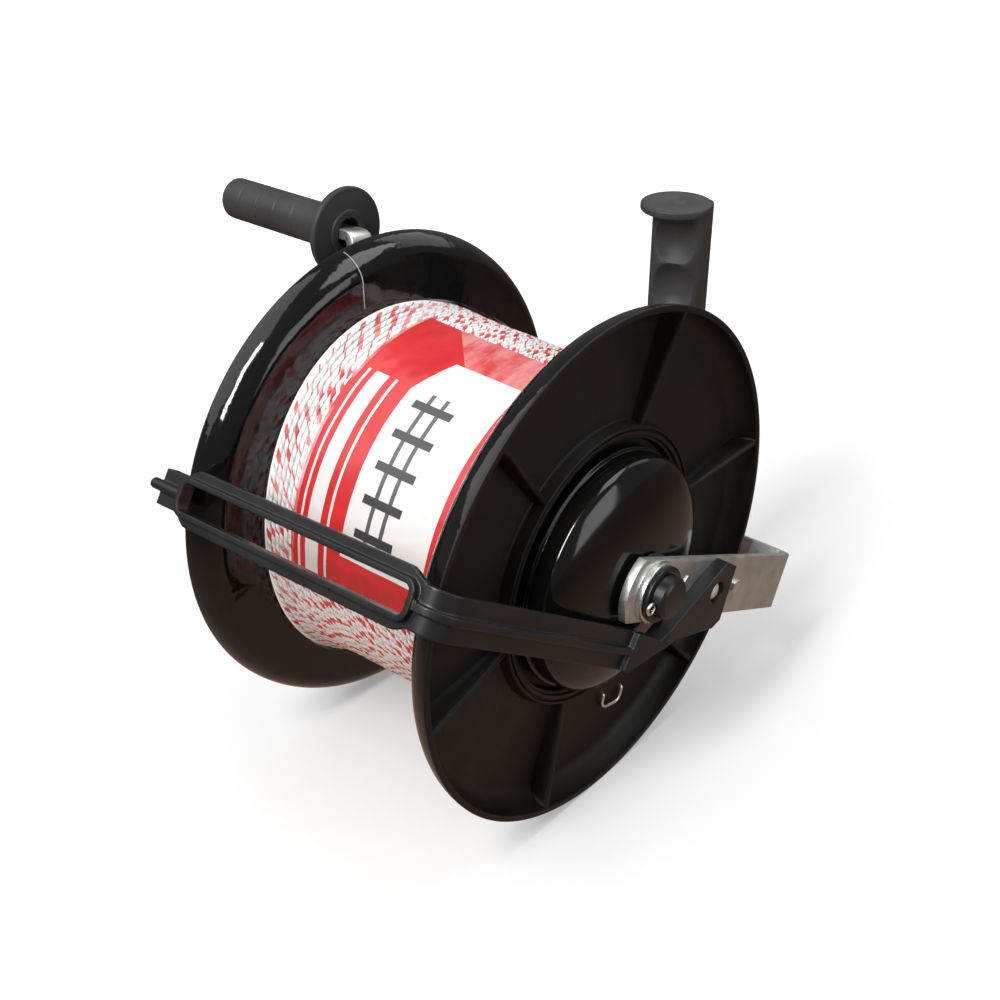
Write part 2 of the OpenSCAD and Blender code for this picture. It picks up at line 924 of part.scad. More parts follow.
// Sets a piece that stands on the drum's axis along X, or along -X for the far side
module on_side(side) {
    on_axle()
        mirror([side < 0 ? 1 : 0, 0, 0])
            rotate([90, 0, 90])
                children();
}

module near_flange() {
    color("#1a1817")
        on_side(1)
            difference() {
                flange_body();
                clip_leg_places()
                    cylinder(r = clip_leg_r + seat_gap, h = 2 * (clip_through + clip_stand), center = true);
            }
}

module far_flange() {
    color("#121212")
        difference() {
            on_side(-1)
                flange_body();
            on_axle()
                drive_pin_place()
                    cylinder(r = drive_pin_r + fit_gap, h = 2 * (boss_r + over), center = true);
        }
}

// Tube with thick ends that take the flanges' screws
module barrel() {
    ring_r = barrel_r - end_ring_t;
    wall_r = barrel_r - barrel_wall;
    ring_x = disc_in_x - end_ring_len;
    color("#202020")
        on_axle()
            difference() {
                about_x()
                    polygon([
                        [barrel_r, -disc_in_x],
                        [barrel_r, disc_in_x],
                        [ring_r, disc_in_x],
                        [ring_r, ring_x],
                        [wall_r, ring_x],
                        [wall_r, -ring_x],
                        [ring_r, -ring_x],
                        [ring_r, -disc_in_x]
                    ]);
                for (side = [-1, 1])
                    mirror([side < 0 ? 1 : 0, 0, 0])
                        rotate([90, 0, 90])
                            screw_places()
                                translate([0, 0, disc_in_x - screw_len])
                                    cylinder(r = screw_r + fit_gap, h = screw_len + over);
            }
}

module drum_screws() {
    color("gainsboro")
        for (side = [-1, 1])
            on_side(side)
                screw_places() {
                    translate([0, 0, disc_out_x - screw_len])
                        cylinder(r = screw_r, h = screw_len);
                    translate([0, 0, disc_out_x])
                        cylinder(r = screw_head_r, h = screw_head_h);
                }
}

// Points of the dome's curve, from its side to its top, drawn in by a wall
function dome_curve(wall) = [
    for (i = [0 : dome_steps])
        let (t = 90 * i / dome_steps)
        let (side_x = disc_out_x + dome_h * dome_side_share)
        [
            max((dome_r - wall) * cos(t), axle_r + seat_gap),
            side_x + (dome_h * (1 - dome_side_share) - wall) * sin(t)
        ]
];

module dome(side) {
    inner = dome_curve(dome_wall);
    color("#0c0c0c")
        on_side(side)
            rotate_extrude()
                polygon(concat(
                    [
                        [dome_r - dome_wall, disc_out_x],
                        [dome_r + bead_w, disc_out_x],
                        [dome_r + bead_w, disc_out_x + bead_h - bead_w],
                        [dome_r, disc_out_x + bead_h]
                    ],
                    dome_curve(0),
                    [for (i = [dome_steps : -1 : 0]) inner[i]]
                ));
}

module near_dome() {
    dome(1);
}

module far_dome() {
    dome(-1);
}

// Places of the contact clip's two legs, on the near flange's outer face
module clip_leg_places() {
    for (s = [-1, 1])
        rotate([0, 0, clip_angle])
            translate([clip_radius, s * clip_span / 2, disc_out_x])
                children();
}

module contact_clip() {
    color("whitesmoke")
        on_side(1) {
            clip_leg_places()
                translate([0, 0, -clip_through])
                    cylinder(r = clip_leg_r, h = clip_through + clip_stand);
            rotate([0, 0, clip_angle])
                translate([clip_radius, 0, disc_out_x + clip_stand])
                    rotate([0, 0, -clip_turn / 2])
                        rotate_extrude(angle = clip_turn)
                            translate([clip_span / 2, 0])
                                circle(r = clip_wire_r);
        }
}

// Crank

module crank_arm() {
    color("silver")
        in_crank()
            difference() {
                union() {
                    along_x(-crank_out_x, crank_t)
                        union() {
                            circle(r = crank_hub_r);
                            polygon([
                                [-crank_root_w / 2, 0],
                                [-shoulder_w / 2, crank_r - crank_bend_out_r],
                                [shoulder_w / 2, crank_r - crank_bend_out_r],
                                [crank_root_w / 2, 0]
                            ]);
                        }
                    crank_tang(shoulder_w, shoulder_x);
                    crank_tang(tang_w, tang_end_x);
                }
                translate([-crank_out_x - over, -tenon_w / 2 - fit_gap, -tenon_w / 2 - fit_gap])
                    cube([crank_t + 2 * over, tenon_w + 2 * fit_gap, tenon_w + 2 * fit_gap]);
            }
}

// The arm's top, bent outwards into the tang, at one width and out to one station
module crank_tang(w, end_x) {
    bend_x = crank_out_x + crank_bend_in_r;
    bend_z = crank_r - crank_t / 2 - crank_bend_in_r;
    translate([-bend_x, w / 2, bend_z])
        rotate([90, 0, 0])
            rotate_extrude(angle = 90)
                translate([crank_bend_in_r, 0])
                    square([crank_t, w]);
    translate([-crank_out_x, -w / 2, bend_z - crank_bend_out_r])
        cube([crank_t, w, crank_bend_out_r]);
    translate([-end_x, -w / 2, crank_r - crank_t / 2])
        cube([end_x - bend_x, w, crank_t]);
}

module crank_washer() {
    color("gainsboro")
        on_axle()
            difference() {
                bar_x(crank_washer_r, -crank_out_x - crank_washer_t, -crank_out_x);
                bar_x(stud_r + seat_gap, -crank_out_x - crank_washer_t - over, -crank_out_x + over);
            }
}

module crank_nut() {
    nut_x = crank_out_x + crank_washer_t;
    color("gainsboro")
        on_axle()
            difference() {
                hex_x(crank_nut_r, -nut_x - crank_nut_h, -nut_x);
                bar_x(stud_r + fit_gap, -nut_x - crank_nut_h - over, -nut_x + over);
            }
}

// Sleeve with a guard and a boss round the shoulder of the tang
module crank_grip() {
    color("#262626")
        in_crank()
            translate([0, 0, crank_r])
                mirror([1, 0, 0])
                    difference() {
                        about_x()
                            crank_grip_profile();
                        bar_x(grip_bore_r, guard_in_x - guard_boss_h - over, crank_grip_end_x + over);
                        bar_x(shoulder_hole_r, guard_in_x - guard_boss_h - over, shoulder_x + run_gap);
                        bar_x(clip_room_r, clip_x - run_gap, crank_grip_end_x + over);
                    }
}

// Half section of the crank grip in radius and station
module crank_grip_profile() {
    difference() {
        polygon([
            [0, guard_in_x - guard_boss_h],
            [guard_boss_r, guard_in_x - guard_boss_h],
            [guard_boss_r, guard_in_x],
            [guard_r - guard_edge, guard_in_x],
            [guard_r, guard_in_x + guard_edge],
            [guard_r, guard_in_x + guard_t - guard_edge],
            [guard_r - guard_edge, guard_in_x + guard_t],
            [crank_grip_r + guard_edge, guard_in_x + guard_t],
            [crank_grip_r, guard_in_x + guard_t + guard_edge],
            [crank_grip_r, crank_grip_end_x - crank_grip_edge],
            [crank_grip_r - crank_grip_edge / 2, crank_grip_end_x],
            [0, crank_grip_end_x]
        ]);
        for (s = ring_groove_shares)
            translate([crank_grip_r - ring_groove_depth, guard_in_x + s * crank_grip_len])
                square([ring_groove_depth + over, ring_groove_w]);
    }
}

module grip_end_plug() {
    color("#262626")
        in_crank()
            translate([0, 0, crank_r])
                mirror([1, 0, 0])
                    bar_x(clip_room_r - fit_gap, crank_grip_end_x - plug_t, crank_grip_end_x);
}

module grip_clip() {
    color("gainsboro")
        in_crank()
            translate([0, 0, crank_r])
                mirror([1, 0, 0])
                    difference() {
                        bar_x(clip_r, clip_x, clip_x + clip_t);
                        translate([clip_x - over, -tang_w / 2 - fit_gap, -crank_t / 2 - fit_gap])
                            cube([clip_t + 2 * over, tang_w + 2 * fit_gap, crank_t + 2 * fit_gap]);
                    }
}

// Polywire

wire_lead_angle = atan(wire_bend_r / wire_path_r);
wire_end_x = wire_start_x + wire_pitch * wire_loops;

// A point at a radius, a distance round the drum and a station, near one angle about the axle
function drum_point(r, round, angle, x) = [
    x,
    r * cos(angle) - round * sin(angle),
    r * sin(angle) + round * cos(angle)
];

// Each ring of the tube: its middle and its outward normal
function wire_end_rings(x, dir) = concat(
    [[drum_point(wire_path_r - wire_end_depth, 0, wire_angle, x), drum_point(0, -dir, wire_angle, 0)]],
    [
        for (i = [0 : wire_bend_steps - 1])
            let (t = 90 * i / wire_bend_steps)
            [
                drum_point(
                    wire_path_r - wire_bend_r * (1 - sin(t)),
                    dir * wire_bend_r * (1 - cos(t)),
                    wire_angle,
                    x
                ),
                drum_point(sin(t), -dir * cos(t), wire_angle, 0)
            ]
    ]
);

function wire_turn_rings() = [
    for (i = [0 : rings_per_loop * wire_loops])
        let (t = i / (rings_per_loop * wire_loops))
        let (angle = wire_angle + wire_lead_angle + t * (360 * wire_loops - 2 * wire_lead_angle))
        [
            drum_point(wire_path_r, 0, angle, wire_start_x + t * (wire_end_x - wire_start_x)),
            drum_point(1, 0, angle, 0)
        ]
];

function reversed(list) = [for (i = [len(list) - 1 : -1 : 0]) list[i]];

wire_rings = concat(
    wire_end_rings(wire_start_x, 1),
    wire_turn_rings(),
    reversed(wire_end_rings(wire_end_x, -1))
);

// Least gap between one ring's middle and those at least half a loop further on, less the tube
wire_gap = min([
    for (i = [0 : len(wire_rings) - 1])
        for (j = [i + rings_per_loop / 2 : min(i + 2 * rings_per_loop, len(wire_rings) - 1)])
            norm(wire_rings[i][0] - wire_rings[j][0])
]) - wire_d;

module polywire_winding() {
    echo(least_gap_between_turns = wire_gap);
    last = len(wire_rings) - 1;
    points = [
        for (ring = wire_rings)
            for (k = [0 : wire_sides - 1])
                let (a = 360 * k / wire_sides)
                ring[0] + wire_r * (cos(a) * ring[1] + sin(a) * [1, 0, 0])
    ];
    sides = [
        for (i = [0 : last - 1])
            for (k = [0 : wire_sides - 1])
                let (a = i * wire_sides + k)
                let (b = i * wire_sides + (k + 1) % wire_sides)
                each [[a, b, a + wire_sides], [b, b + wire_sides, a + wire_sides]]
    ];
    ends = [
        for (k = [1 : wire_sides - 2])
            each [[0, k + 1, k], [last * wire_sides, last * wire_sides + k, last * wire_sides + k + 1]]
    ];
    color("mistyrose")
        on_axle()
            polyhedron(points = points, faces = concat(sides, ends));
}

module polywire_core() {
    color("white")
        on_axle()
            difference() {
                bar_x(core_r, -disc_in_x + run_gap, disc_in_x - run_gap);
                bar_x(barrel_r + run_gap, -disc_in_x, disc_in_x);
                for (x = [wire_start_x, wire_end_x])
                    translate([x, 0, 0])
                        rotate([wire_angle, 0, 0])
                            rotate([-90, 0, 0])
                                translate([0, 0, wire_path_r - wire_end_depth])
                                    cylinder(r = core_pocket_r, h = wire_end_depth);
            }
}

module label_wrap() {
    label_in_r = winding_r + label_gap;
    label_x = -disc_in_x + label_far_share * drum_w;
    label_w = (label_near_share - label_far_share) * drum_w;
    color("#d8232a")
        on_axle()
            rotate([label_top_angle, 0, 0])
                rotate([90, 0, 90])
                    rotate_extrude(angle = label_turn)
                        translate([label_in_r, label_x])
                            square([label_t, label_w]);
}

frame_bracket();
near_bush();
far_bush();
near_thrust_washer();
far_thrust_washer();
guide_arm();
guide_bolt();
guide_nut();
stop_bolt();
stop_nut();
grip_post();
post_rivets();
carry_grip();
carry_grip_screw();
axle();
near_flange();
far_flange();
barrel();
drum_screws();
drive_pin();
near_dome();
far_dome();
retaining_washer();
split_pin();
contact_clip();
crank_arm();
crank_washer();
crank_nut();
grip_clip();
crank_grip();
grip_end_plug();
polywire_core();
polywire_winding();
label_wrap();
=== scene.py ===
"""Looks of an electric fence reel: mouldings, wound polywire, label, film, light and camera."""
import json
import math
import random

import bmesh
import bpy
from mathutils import Matrix, Vector, noise


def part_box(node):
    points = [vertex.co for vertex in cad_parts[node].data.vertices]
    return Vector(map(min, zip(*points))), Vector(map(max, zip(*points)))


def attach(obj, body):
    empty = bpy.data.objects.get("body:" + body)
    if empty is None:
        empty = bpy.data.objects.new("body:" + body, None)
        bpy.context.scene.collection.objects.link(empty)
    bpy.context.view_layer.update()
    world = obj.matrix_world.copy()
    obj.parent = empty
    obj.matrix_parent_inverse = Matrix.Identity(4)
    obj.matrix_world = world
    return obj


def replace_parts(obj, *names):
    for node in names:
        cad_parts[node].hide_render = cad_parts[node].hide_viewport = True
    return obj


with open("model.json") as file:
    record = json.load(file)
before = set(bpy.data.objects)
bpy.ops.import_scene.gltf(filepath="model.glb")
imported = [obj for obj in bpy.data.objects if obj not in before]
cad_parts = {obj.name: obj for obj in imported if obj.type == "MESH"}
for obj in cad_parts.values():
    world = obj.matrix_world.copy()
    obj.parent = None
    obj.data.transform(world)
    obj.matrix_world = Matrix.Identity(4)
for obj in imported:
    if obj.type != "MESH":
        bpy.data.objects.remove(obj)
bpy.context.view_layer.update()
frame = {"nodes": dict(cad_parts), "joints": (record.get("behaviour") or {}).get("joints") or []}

MM = 0.001
QUARTER = math.pi / 2
FULL_TURN = 2 * math.pi
# Radius that stands for zero, so that a ring of points stays open at the pole of a turned form
POLE_R = 0.01


def box_mm(node):
    """Low and high corner of a node's box, in millimetres."""
    low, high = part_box(node)
    return [c / MM for c in low], [c / MM for c in high]


# Sizes of the drum in millimetres, from the frame where it gives them; stations are from the drum's middle

flange_low, flange_high = box_mm("near_flange")
dome_low, dome_high = box_mm("near_dome")
winding_low, winding_high = box_mm("polywire_winding")
AXLE_Z = (flange_low[2] + flange_high[2]) / 2
AXLE_R = 10
FLANGE_R = (flange_high[2] - flange_low[2]) / 2
DISC_T = 3
DISC_OUT = dome_low[0]
DISC_IN = DISC_OUT - DISC_T
LIP_X = flange_high[0]
LIP_DEPTH = 12
LIP_START = FLANGE_R - LIP_DEPTH
DOME_TOP = dome_high[0]
DOME_FOOT_R = (dome_high[2] - dome_low[2]) / 2
GROOVE_W = 4
HUB_RING_T = 7
HUB_RING_IN = DOME_FOOT_R + GROOVE_W
HUB_RING_OUT = HUB_RING_IN + HUB_RING_T
BARREL_R = 50
WINDING_R = (winding_high[2] - winding_low[2]) / 2

# Building of meshes

TURN_STEPS = 144
SHARP_ANGLE = 40
MOST_CUT_SHARE = 0.49


def add_piece(name, verts, faces, body, materials, indices=None, sharp=SHARP_ANGLE, uvs=None):
    """Adds a mesh given in millimetres about the axle, riding on a body."""
    mesh = bpy.data.meshes.new(name)
    mesh.from_pydata([(x * MM, y * MM, (z + AXLE_Z) * MM) for x, y, z in verts], [], faces)
    for material in materials:
        mesh.materials.append(material)
    if indices is not None:
        mesh.polygons.foreach_set("material_index", indices)
    if uvs is not None:
        layer = mesh.uv_layers.new(name="print")
        for loop in mesh.loops:
            layer.data[loop.index].uv = uvs[loop.vertex_index]
    mesh.polygons.foreach_set("use_smooth", [True] * len(mesh.polygons))
    mesh.update()
    if sharp:
        mesh.set_sharp_from_angle(angle=math.radians(sharp))
    obj = bpy.data.objects.new(name, mesh)
    bpy.context.scene.collection.objects.link(obj)
    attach(obj, body)
    return obj


def face_out(obj):
    """Turns the faces of a closed piece outwards."""
    work = bmesh.new()
    work.from_mesh(obj.data)
    bmesh.ops.recalc_face_normals(work, faces=work.faces)
    work.to_mesh(obj.data)
    work.free()
    return obj


def grid_faces(rows, columns, close_rows=False, close_columns=True):
    """Faces of a grid of points listed row by row."""
    faces = []
    for i in range(rows if close_rows else rows - 1):
        for j in range(columns if close_columns else columns - 1):
            here, there = i * columns, (i + 1) % rows * columns
            beside = (j + 1) % columns
            faces.append((here + j, here + beside, there + beside, there + j))
    return faces


def end_caps(count, columns):
    """Faces that close the first and the last row of a grid of points."""
    return [tuple(range(columns)), tuple(range(count - columns, count))]


def rounded(corners, steps=4):
    """Closed outline in which each corner (a, b, radius) becomes an arc."""
    outline = []
    count = len(corners)
    for i, corner in enumerate(corners):
        here = Vector(corner[:2])
        if len(corner) < 3:
            outline.append(tuple(here))
            continue
        before = Vector(corners[i - 1][:2]) - here
        after = Vector(corners[(i + 1) % count][:2]) - here
        half = before.angle(after) / 2
        cut = min(corner[2] / math.tan(half), MOST_CUT_SHARE * before.length, MOST_CUT_SHARE * after.length)
        radius = cut * math.tan(half)
        bisector = (before.normalized() + after.normalized()).normalized()
        centre = here + bisector * (radius / math.sin(half))
        first = here + before.normalized() * cut - centre
        last = here + after.normalized() * cut - centre
        start = math.atan2(first.y, first.x)
        sweep = (math.atan2(last.y, last.x) - start + math.pi) % FULL_TURN - math.pi
        for k in range(steps + 1):
            angle = start + sweep * k / steps
            outline.append((centre.x + radius * math.cos(angle), centre.y + radius * math.sin(angle)))
    return outline


def turned(outline, side, steps=TURN_STEPS, centre=(0, 0)):
    """Points and faces of a closed outline of (radius, station) turned about a line along X."""
    verts = []
    for radius, station in outline:
        for k in range(steps):
            angle = FULL_TURN * k / steps
            verts.append((
                side * station,
                centre[0] + radius * math.cos(angle),
                centre[1] + radius * math.sin(angle),
            ))
    return verts, grid_faces(len(outline), steps, close_rows=True)


def tube(points, radius, sides=12):
    """Points and faces of a closed tube along a line of points."""
    line = [Vector(p) for p in points]
    verts = []
    normal = None
    for i, point in enumerate(line):
        along = (line[min(i + 1, len(line) - 1)] - line[max(i - 1, 0)]).normalized()
        if normal is None:
            normal = along.orthogonal().normalized()
        normal = (normal - along * normal.dot(along)).normalized()
        across = along.cross(normal)
        for k in range(sides):
            angle = FULL_TURN * k / sides
            verts.append(tuple(point + (normal * math.cos(angle) + across * math.sin(angle)) * radius))
    return verts, grid_faces(len(line), sides) + end_caps(len(verts), sides)


def joined(*parts):
    """One list of points and faces from several."""
    verts, faces = [], []
    for part_verts, part_faces in parts:
        start = len(verts)
        verts.extend(part_verts)
        faces.extend(tuple(v + start for v in face) for face in part_faces)
    return verts, faces


# Materials

# Span in which most values of a noise lie
NOISE_LOW = 0.3
NOISE_HIGH = 0.7
CLOUD_SCALE = 26
WEAR_SCALE = 55
MOULD_STRENGTH = 0.35
MOTTLE_SCALE = 120
MOTTLE_LOW = 0.32
MOTTLE_HIGH = 0.68
STREAK_STRENGTH = 0.12
STREAK_DEPTH = 0.00015
STRAND_SCALE = 420
STRAND_GRAIN_SCALE = 2600
STRAND_STRENGTH = 0.25
STRAND_DEPTH = 0.0001


def new_material(name, colour, roughness, metallic=0.0):
    material = bpy.data.materials.new(name)
    material.use_nodes = True
    shader = material.node_tree.nodes["Principled BSDF"]
    shader.inputs["Base Color"].default_value = (*colour, 1)
    shader.inputs["Roughness"].default_value = roughness
    shader.inputs["Metallic"].default_value = metallic
    return material, shader


def add_node(material, kind, **values):
    node = material.node_tree.nodes.new(kind)
    for key, value in values.items():
        if key in node.inputs:
            node.inputs[key].default_value = value
        else:
            setattr(node, key, value)
    return node


def link(material, source, target):
    material.node_tree.links.new(source, target)


def noise_at(material, scale, detail=3.0, stretch=(1, 1, 1), rough=0.5):
    """Noise in object coordinates, stretched along the axes."""
    where = add_node(material, "ShaderNodeTexCoord")
    mapping = add_node(material, "ShaderNodeMapping", Scale=stretch)
    node = add_node(material, "ShaderNodeTexNoise", Scale=scale, Detail=detail, Roughness=rough)
    link(material, where.outputs["Object"], mapping.inputs["Vector"])
    link(material, mapping.outputs["Vector"], node.inputs["Vector"])
    return node.outputs["Fac"]


def ramp(material, factor, stops):
    """Colours along a factor, from (position, colour) stops."""
    node = add_node(material, "ShaderNodeValToRGB")
    for element, (position, colour) in zip(node.color_ramp.elements, stops):
        element.position = position
        element.color = (*colour, 1)
    link(material, factor, node.inputs["Fac"])
    return node.outputs["Color"]


def map_range(material, value, source, target):
    """Maps a span of numbers on another."""
    node = add_node(material, "ShaderNodeMapRange")
    for name, number in zip(("From Min", "From Max", "To Min", "To Max"), (*source, *target)):
        node.inputs[name].default_value = number
    link(material, value, node.inputs["Value"])
    return node.outputs["Result"]


def spread(material, factor, target):
    """Maps a noise on a span of numbers."""
    return map_range(material, factor, (NOISE_LOW, NOISE_HIGH), target)


def grain(material, shader, height, strength, depth):
    """Fine relief from a height."""
    node = add_node(material, "ShaderNodeBump", Strength=strength, Distance=depth)
    link(material, height, node.inputs["Height"])
    link(material, node.outputs["Normal"], shader.inputs["Normal"])


def moulding(name, dark, light, rough, grain_scale, grain_depth, specular):
    """Moulded black plastic with a cloudy tone, uneven gloss and a moulded grain."""
    material, shader = new_material(name, dark, rough[1])
    shader.inputs["Specular IOR Level"].default_value = specular
    cloud = noise_at(material, CLOUD_SCALE, 5)
    tone = ramp(material, cloud, [(NOISE_LOW, dark), (NOISE_HIGH, light)])
    link(material, tone, shader.inputs["Base Color"])
    wear = noise_at(material, WEAR_SCALE, 4)
    link(material, spread(material, wear, rough), shader.inputs["Roughness"])
    grain(material, shader, noise_at(material, grain_scale, 2), MOULD_STRENGTH, grain_depth)
    return material


def metal(name, dark, light, rough, streak_scale, stretch=(1, 1, 1)):
    """Plated steel with a mottled tone and drawn streaks."""
    material, shader = new_material(name, light, rough[0], 1.0)
    mottle = noise_at(material, MOTTLE_SCALE)
    tone = ramp(material, mottle, [(MOTTLE_LOW, dark), (MOTTLE_HIGH, light)])
    link(material, tone, shader.inputs["Base Color"])
    streaks = noise_at(material, streak_scale, 3, stretch)
    link(material, spread(material, streaks, rough), shader.inputs["Roughness"])
    grain(material, shader, streaks, STREAK_STRENGTH, STREAK_DEPTH)
    return material


def strand(name, dark, light, rough):
    """Extruded polymer strand, a little mottled."""
    material, shader = new_material(name, light, rough)
    tone = ramp(material, noise_at(material, STRAND_SCALE), [(NOISE_LOW, dark), (NOISE_HIGH, light)])
    link(material, tone, shader.inputs["Base Color"])
    grain(material, shader, noise_at(material, STRAND_GRAIN_SCALE, 2), STRAND_STRENGTH, STRAND_DEPTH)
    return material


# Matte flange plastic: black, with a warm brown tint that is a painted reflection of a brown floor
flange_matte = moulding(
    "flange matte", (0.004, 0.0031, 0.0027), (0.009, 0.0066, 0.0055), rough=(0.46, 0.6),
    grain_scale=1600, grain_depth=0.0002, specular=0.35,
)
flange_gloss = moulding(
    "flange gloss", (0.0035, 0.0035, 0.0035), (0.006, 0.006, 0.006), rough=(0.06, 0.11),
    grain_scale=110, grain_depth=0.0008, specular=0.5,
)
dome_gloss = moulding(
    "dome gloss", (0.003, 0.003, 0.003), (0.006, 0.0055, 0.005), rough=(0.1, 0.16),
    grain_scale=420, grain_depth=0.00003, specular=0.5,
)
guide_black = moulding(
    "guide satin", (0.008, 0.008, 0.0085), (0.014, 0.014, 0.0145), rough=(0.32, 0.42),
    grain_scale=1400, grain_depth=0.0001, specular=0.4,
)
grip_black = moulding(
    "grip satin", (0.03, 0.03, 0.0305), (0.045, 0.045, 0.045), rough=(0.46, 0.58),
    grain_scale=1500, grain_depth=0.00012, specular=0.3,
)
bush_black = moulding(
    "bush satin", (0.01, 0.01, 0.01), (0.018, 0.018, 0.018), rough=(0.4, 0.5),
    grain_scale=1400, grain_depth=0.0001, specular=0.4,
)
black_steel = moulding(
    "black steel", (0.006, 0.006, 0.006), (0.012, 0.012, 0.012), rough=(0.3, 0.42),
    grain_scale=900, grain_depth=0.00008, specular=0.45,
)
galvanised = metal(
    "galvanised steel", (0.575, 0.605, 0.575), (0.71, 0.745, 0.71), rough=(0.38, 0.52),
    streak_scale=500, stretch=(1, 0.15, 1),
)
zinc = metal("zinc steel", (0.8, 0.8, 0.79), (0.92, 0.92, 0.91), rough=(0.26, 0.4), streak_scale=700)
dull_zinc = metal(
    "dull zinc steel", (0.84, 0.84, 0.83), (0.95, 0.95, 0.94), rough=(0.52, 0.66), streak_scale=700
)
wire_white = strand("polywire white", (0.88, 0.865, 0.855), (0.96, 0.95, 0.945), 0.38)
wire_red = strand("polywire red", (0.62, 0.045, 0.05), (0.8, 0.1, 0.105), 0.36)
# Steel strands: real conductor strands, drawn light grey and not metal so that they also paint thin lines of
# shade between the white strands
wire_steel_and_shade = strand("polywire steel and painted shade", (0.56, 0.56, 0.555), (0.7, 0.7, 0.69), 0.3)

# Flanges: turned mouldings with flared lips, a stepped hub ring and radial ribs

FLANGE_BORE_R = AXLE_R + 0.05
LIP_STEPS = 24
RIM_ROUND = 1.3
HUB_RING_H = 6
HUB_RING_DRAFT = 1.5
HUB_FOOT_ROUND = 1.2
HUB_TOP_ROUND = 0.9
# Steps in the hub ring's top: distance out from its inner wall, drop from its top, corner radius
HUB_STEPS = (
    (4.3, 0, 0.3), (4.1, 1.5, 0.2), (3.3, 1.5, 0.2), (3.1, 0.3, 0.5),
    (1.2, 0.3, 0.3), (1, 1.8, 0.2), (-0.6, 1.8, 0.4),
)
HUB_WALL_DRAFT = 0.8
HUB_WALL_ROUND = 1
RIB_COUNT = 6
RIB_ANGLE = 8.5
RIB_T = 3
RIB_ROOT_H = 5
RIB_LEAST_H = 0.4
RIB_RIM_DROP = 0.5
RIB_INNER_LAP = 1.5
RIB_OUTER_LAP = 0.8
RIB_STATIONS = 40
# A rib's section: how far its foot spreads, then (spread or inset of its side, share of its height) by levels
RIB_SUNK_SPREAD = 1.1
RIB_FOOT_SPREAD = 0.9
RIB_LOW_LEVELS = ((0.35, 0.16), (0.1, 0.45))
RIB_HIGH_LEVELS = ((0.05, 0.16), (0.35, 0.05), (0.9, 0))


def lip_point(depth, share):
    """Point of the flared lip's outline, at one depth into its wall."""
    angle = QUARTER * share
    return (
        LIP_START + (LIP_DEPTH - depth) * math.sin(angle),
        DISC_IN + depth + (LIP_X - DISC_IN - depth) * (1 - math.cos(angle)),
    )


def flange_outline():
    corners = [(FLANGE_BORE_R, DISC_IN)]
    corners += [lip_point(0, k / LIP_STEPS) for k in range(LIP_STEPS)]
    corners.append((*lip_point(0, 1), RIM_ROUND))
    corners.append((*lip_point(DISC_T, 1), RIM_ROUND))
    corners += [lip_point(DISC_T, k / LIP_STEPS) for k in range(LIP_STEPS - 1, -1, -1)]
    corners.append((HUB_RING_OUT, DISC_OUT, HUB_FOOT_ROUND))
    corners.append((HUB_RING_OUT - HUB_RING_DRAFT, DISC_OUT + HUB_RING_H, HUB_TOP_ROUND))
    corners += [(HUB_RING_IN + out, DISC_OUT + HUB_RING_H - drop, radius) for out, drop, radius in HUB_STEPS]
    corners.append((HUB_RING_IN - HUB_WALL_DRAFT, DISC_OUT, HUB_WALL_ROUND))
    corners.append((FLANGE_BORE_R, DISC_OUT))
    return rounded(corners)


def surface_station(radius, depth):
    """Station of a flange's face at a radius, at one depth into its wall."""
    if radius <= LIP_START:
        return DISC_IN + depth
    sine = min((radius - LIP_START) / (LIP_DEPTH - depth), 1)
    return DISC_IN + depth + (LIP_X - DISC_IN - depth) * (1 - math.sqrt(1 - sine * sine))


def rib(angle, side):
    """A radial rib with drafted sides and a rounded top."""
    root = HUB_RING_OUT - HUB_RING_DRAFT
    rim = FLANGE_R - DISC_T
    stations = [HUB_RING_IN + RIB_INNER_LAP]
    stations += [root + (rim - root) * k / RIB_STATIONS for k in range(RIB_STATIONS + 1)]
    stations.append(rim + RIB_OUTER_LAP)
    half = RIB_T / 2
    verts = []
    for radius in stations:
        share = min(max((radius - root) / (rim - root), 0), 1)
        top = DISC_OUT + RIB_ROOT_H + (LIP_X - RIB_RIM_DROP - DISC_OUT - RIB_ROOT_H) * share
        foot = min(surface_station(radius, DISC_T), top - RIB_LEAST_H)
        sunk = min((surface_station(radius, 0) + surface_station(radius, DISC_T)) / 2, foot)
        rise = top - foot
        section = [(-half - RIB_SUNK_SPREAD, sunk), (-half - RIB_FOOT_SPREAD, foot)]
        section += [(-half - out, foot + up * rise) for out, up in RIB_LOW_LEVELS]
        section += [(-half + inset, top - down * rise) for inset, down in RIB_HIGH_LEVELS]
        section += [(-w, x) for w, x in reversed(section)]
        for w, x in section:
            verts.append((
                side * x,
                radius * math.cos(angle) - w * math.sin(angle),
                radius * math.sin(angle) + w * math.cos(angle),
            ))
    columns = len(verts) // len(stations)
    return verts, grid_faces(len(stations), columns) + end_caps(len(verts), columns)


def flange(name, side):
    """A flange whose inner face is glossy and whose other faces are matte."""
    ribs = [rib(math.radians(RIB_ANGLE + 360 / RIB_COUNT * k), side) for k in range(RIB_COUNT)]
    verts, faces = joined(turned(flange_outline(), side), *ribs)
    inner_faces = LIP_STEPS * TURN_STEPS
    indices = [1 if i < inner_faces else 0 for i in range(len(faces))]
    skins = [flange_matte, flange_gloss]
    obj = add_piece(name + "_moulding", verts, faces, "drum", skins, indices)
    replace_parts(face_out(obj), name)


flange("near_flange", 1)
flange("far_flange", -1)

# Hub domes: glossy caps with a bead round the foot

BEAD_W = 1.5
BEAD_H = 6.7
BEAD_FALL = 0.4
BEAD_ROUND = 0.7
BEAD_INNER_ROUND = 0.8
DOME_R = DOME_FOOT_R - BEAD_W
DOME_WALL = 3
DOME_BORE_R = AXLE_R + 0.15
DOME_SIDE = DISC_OUT + (DOME_TOP - DISC_OUT) / 2
DOME_STEPS = 28


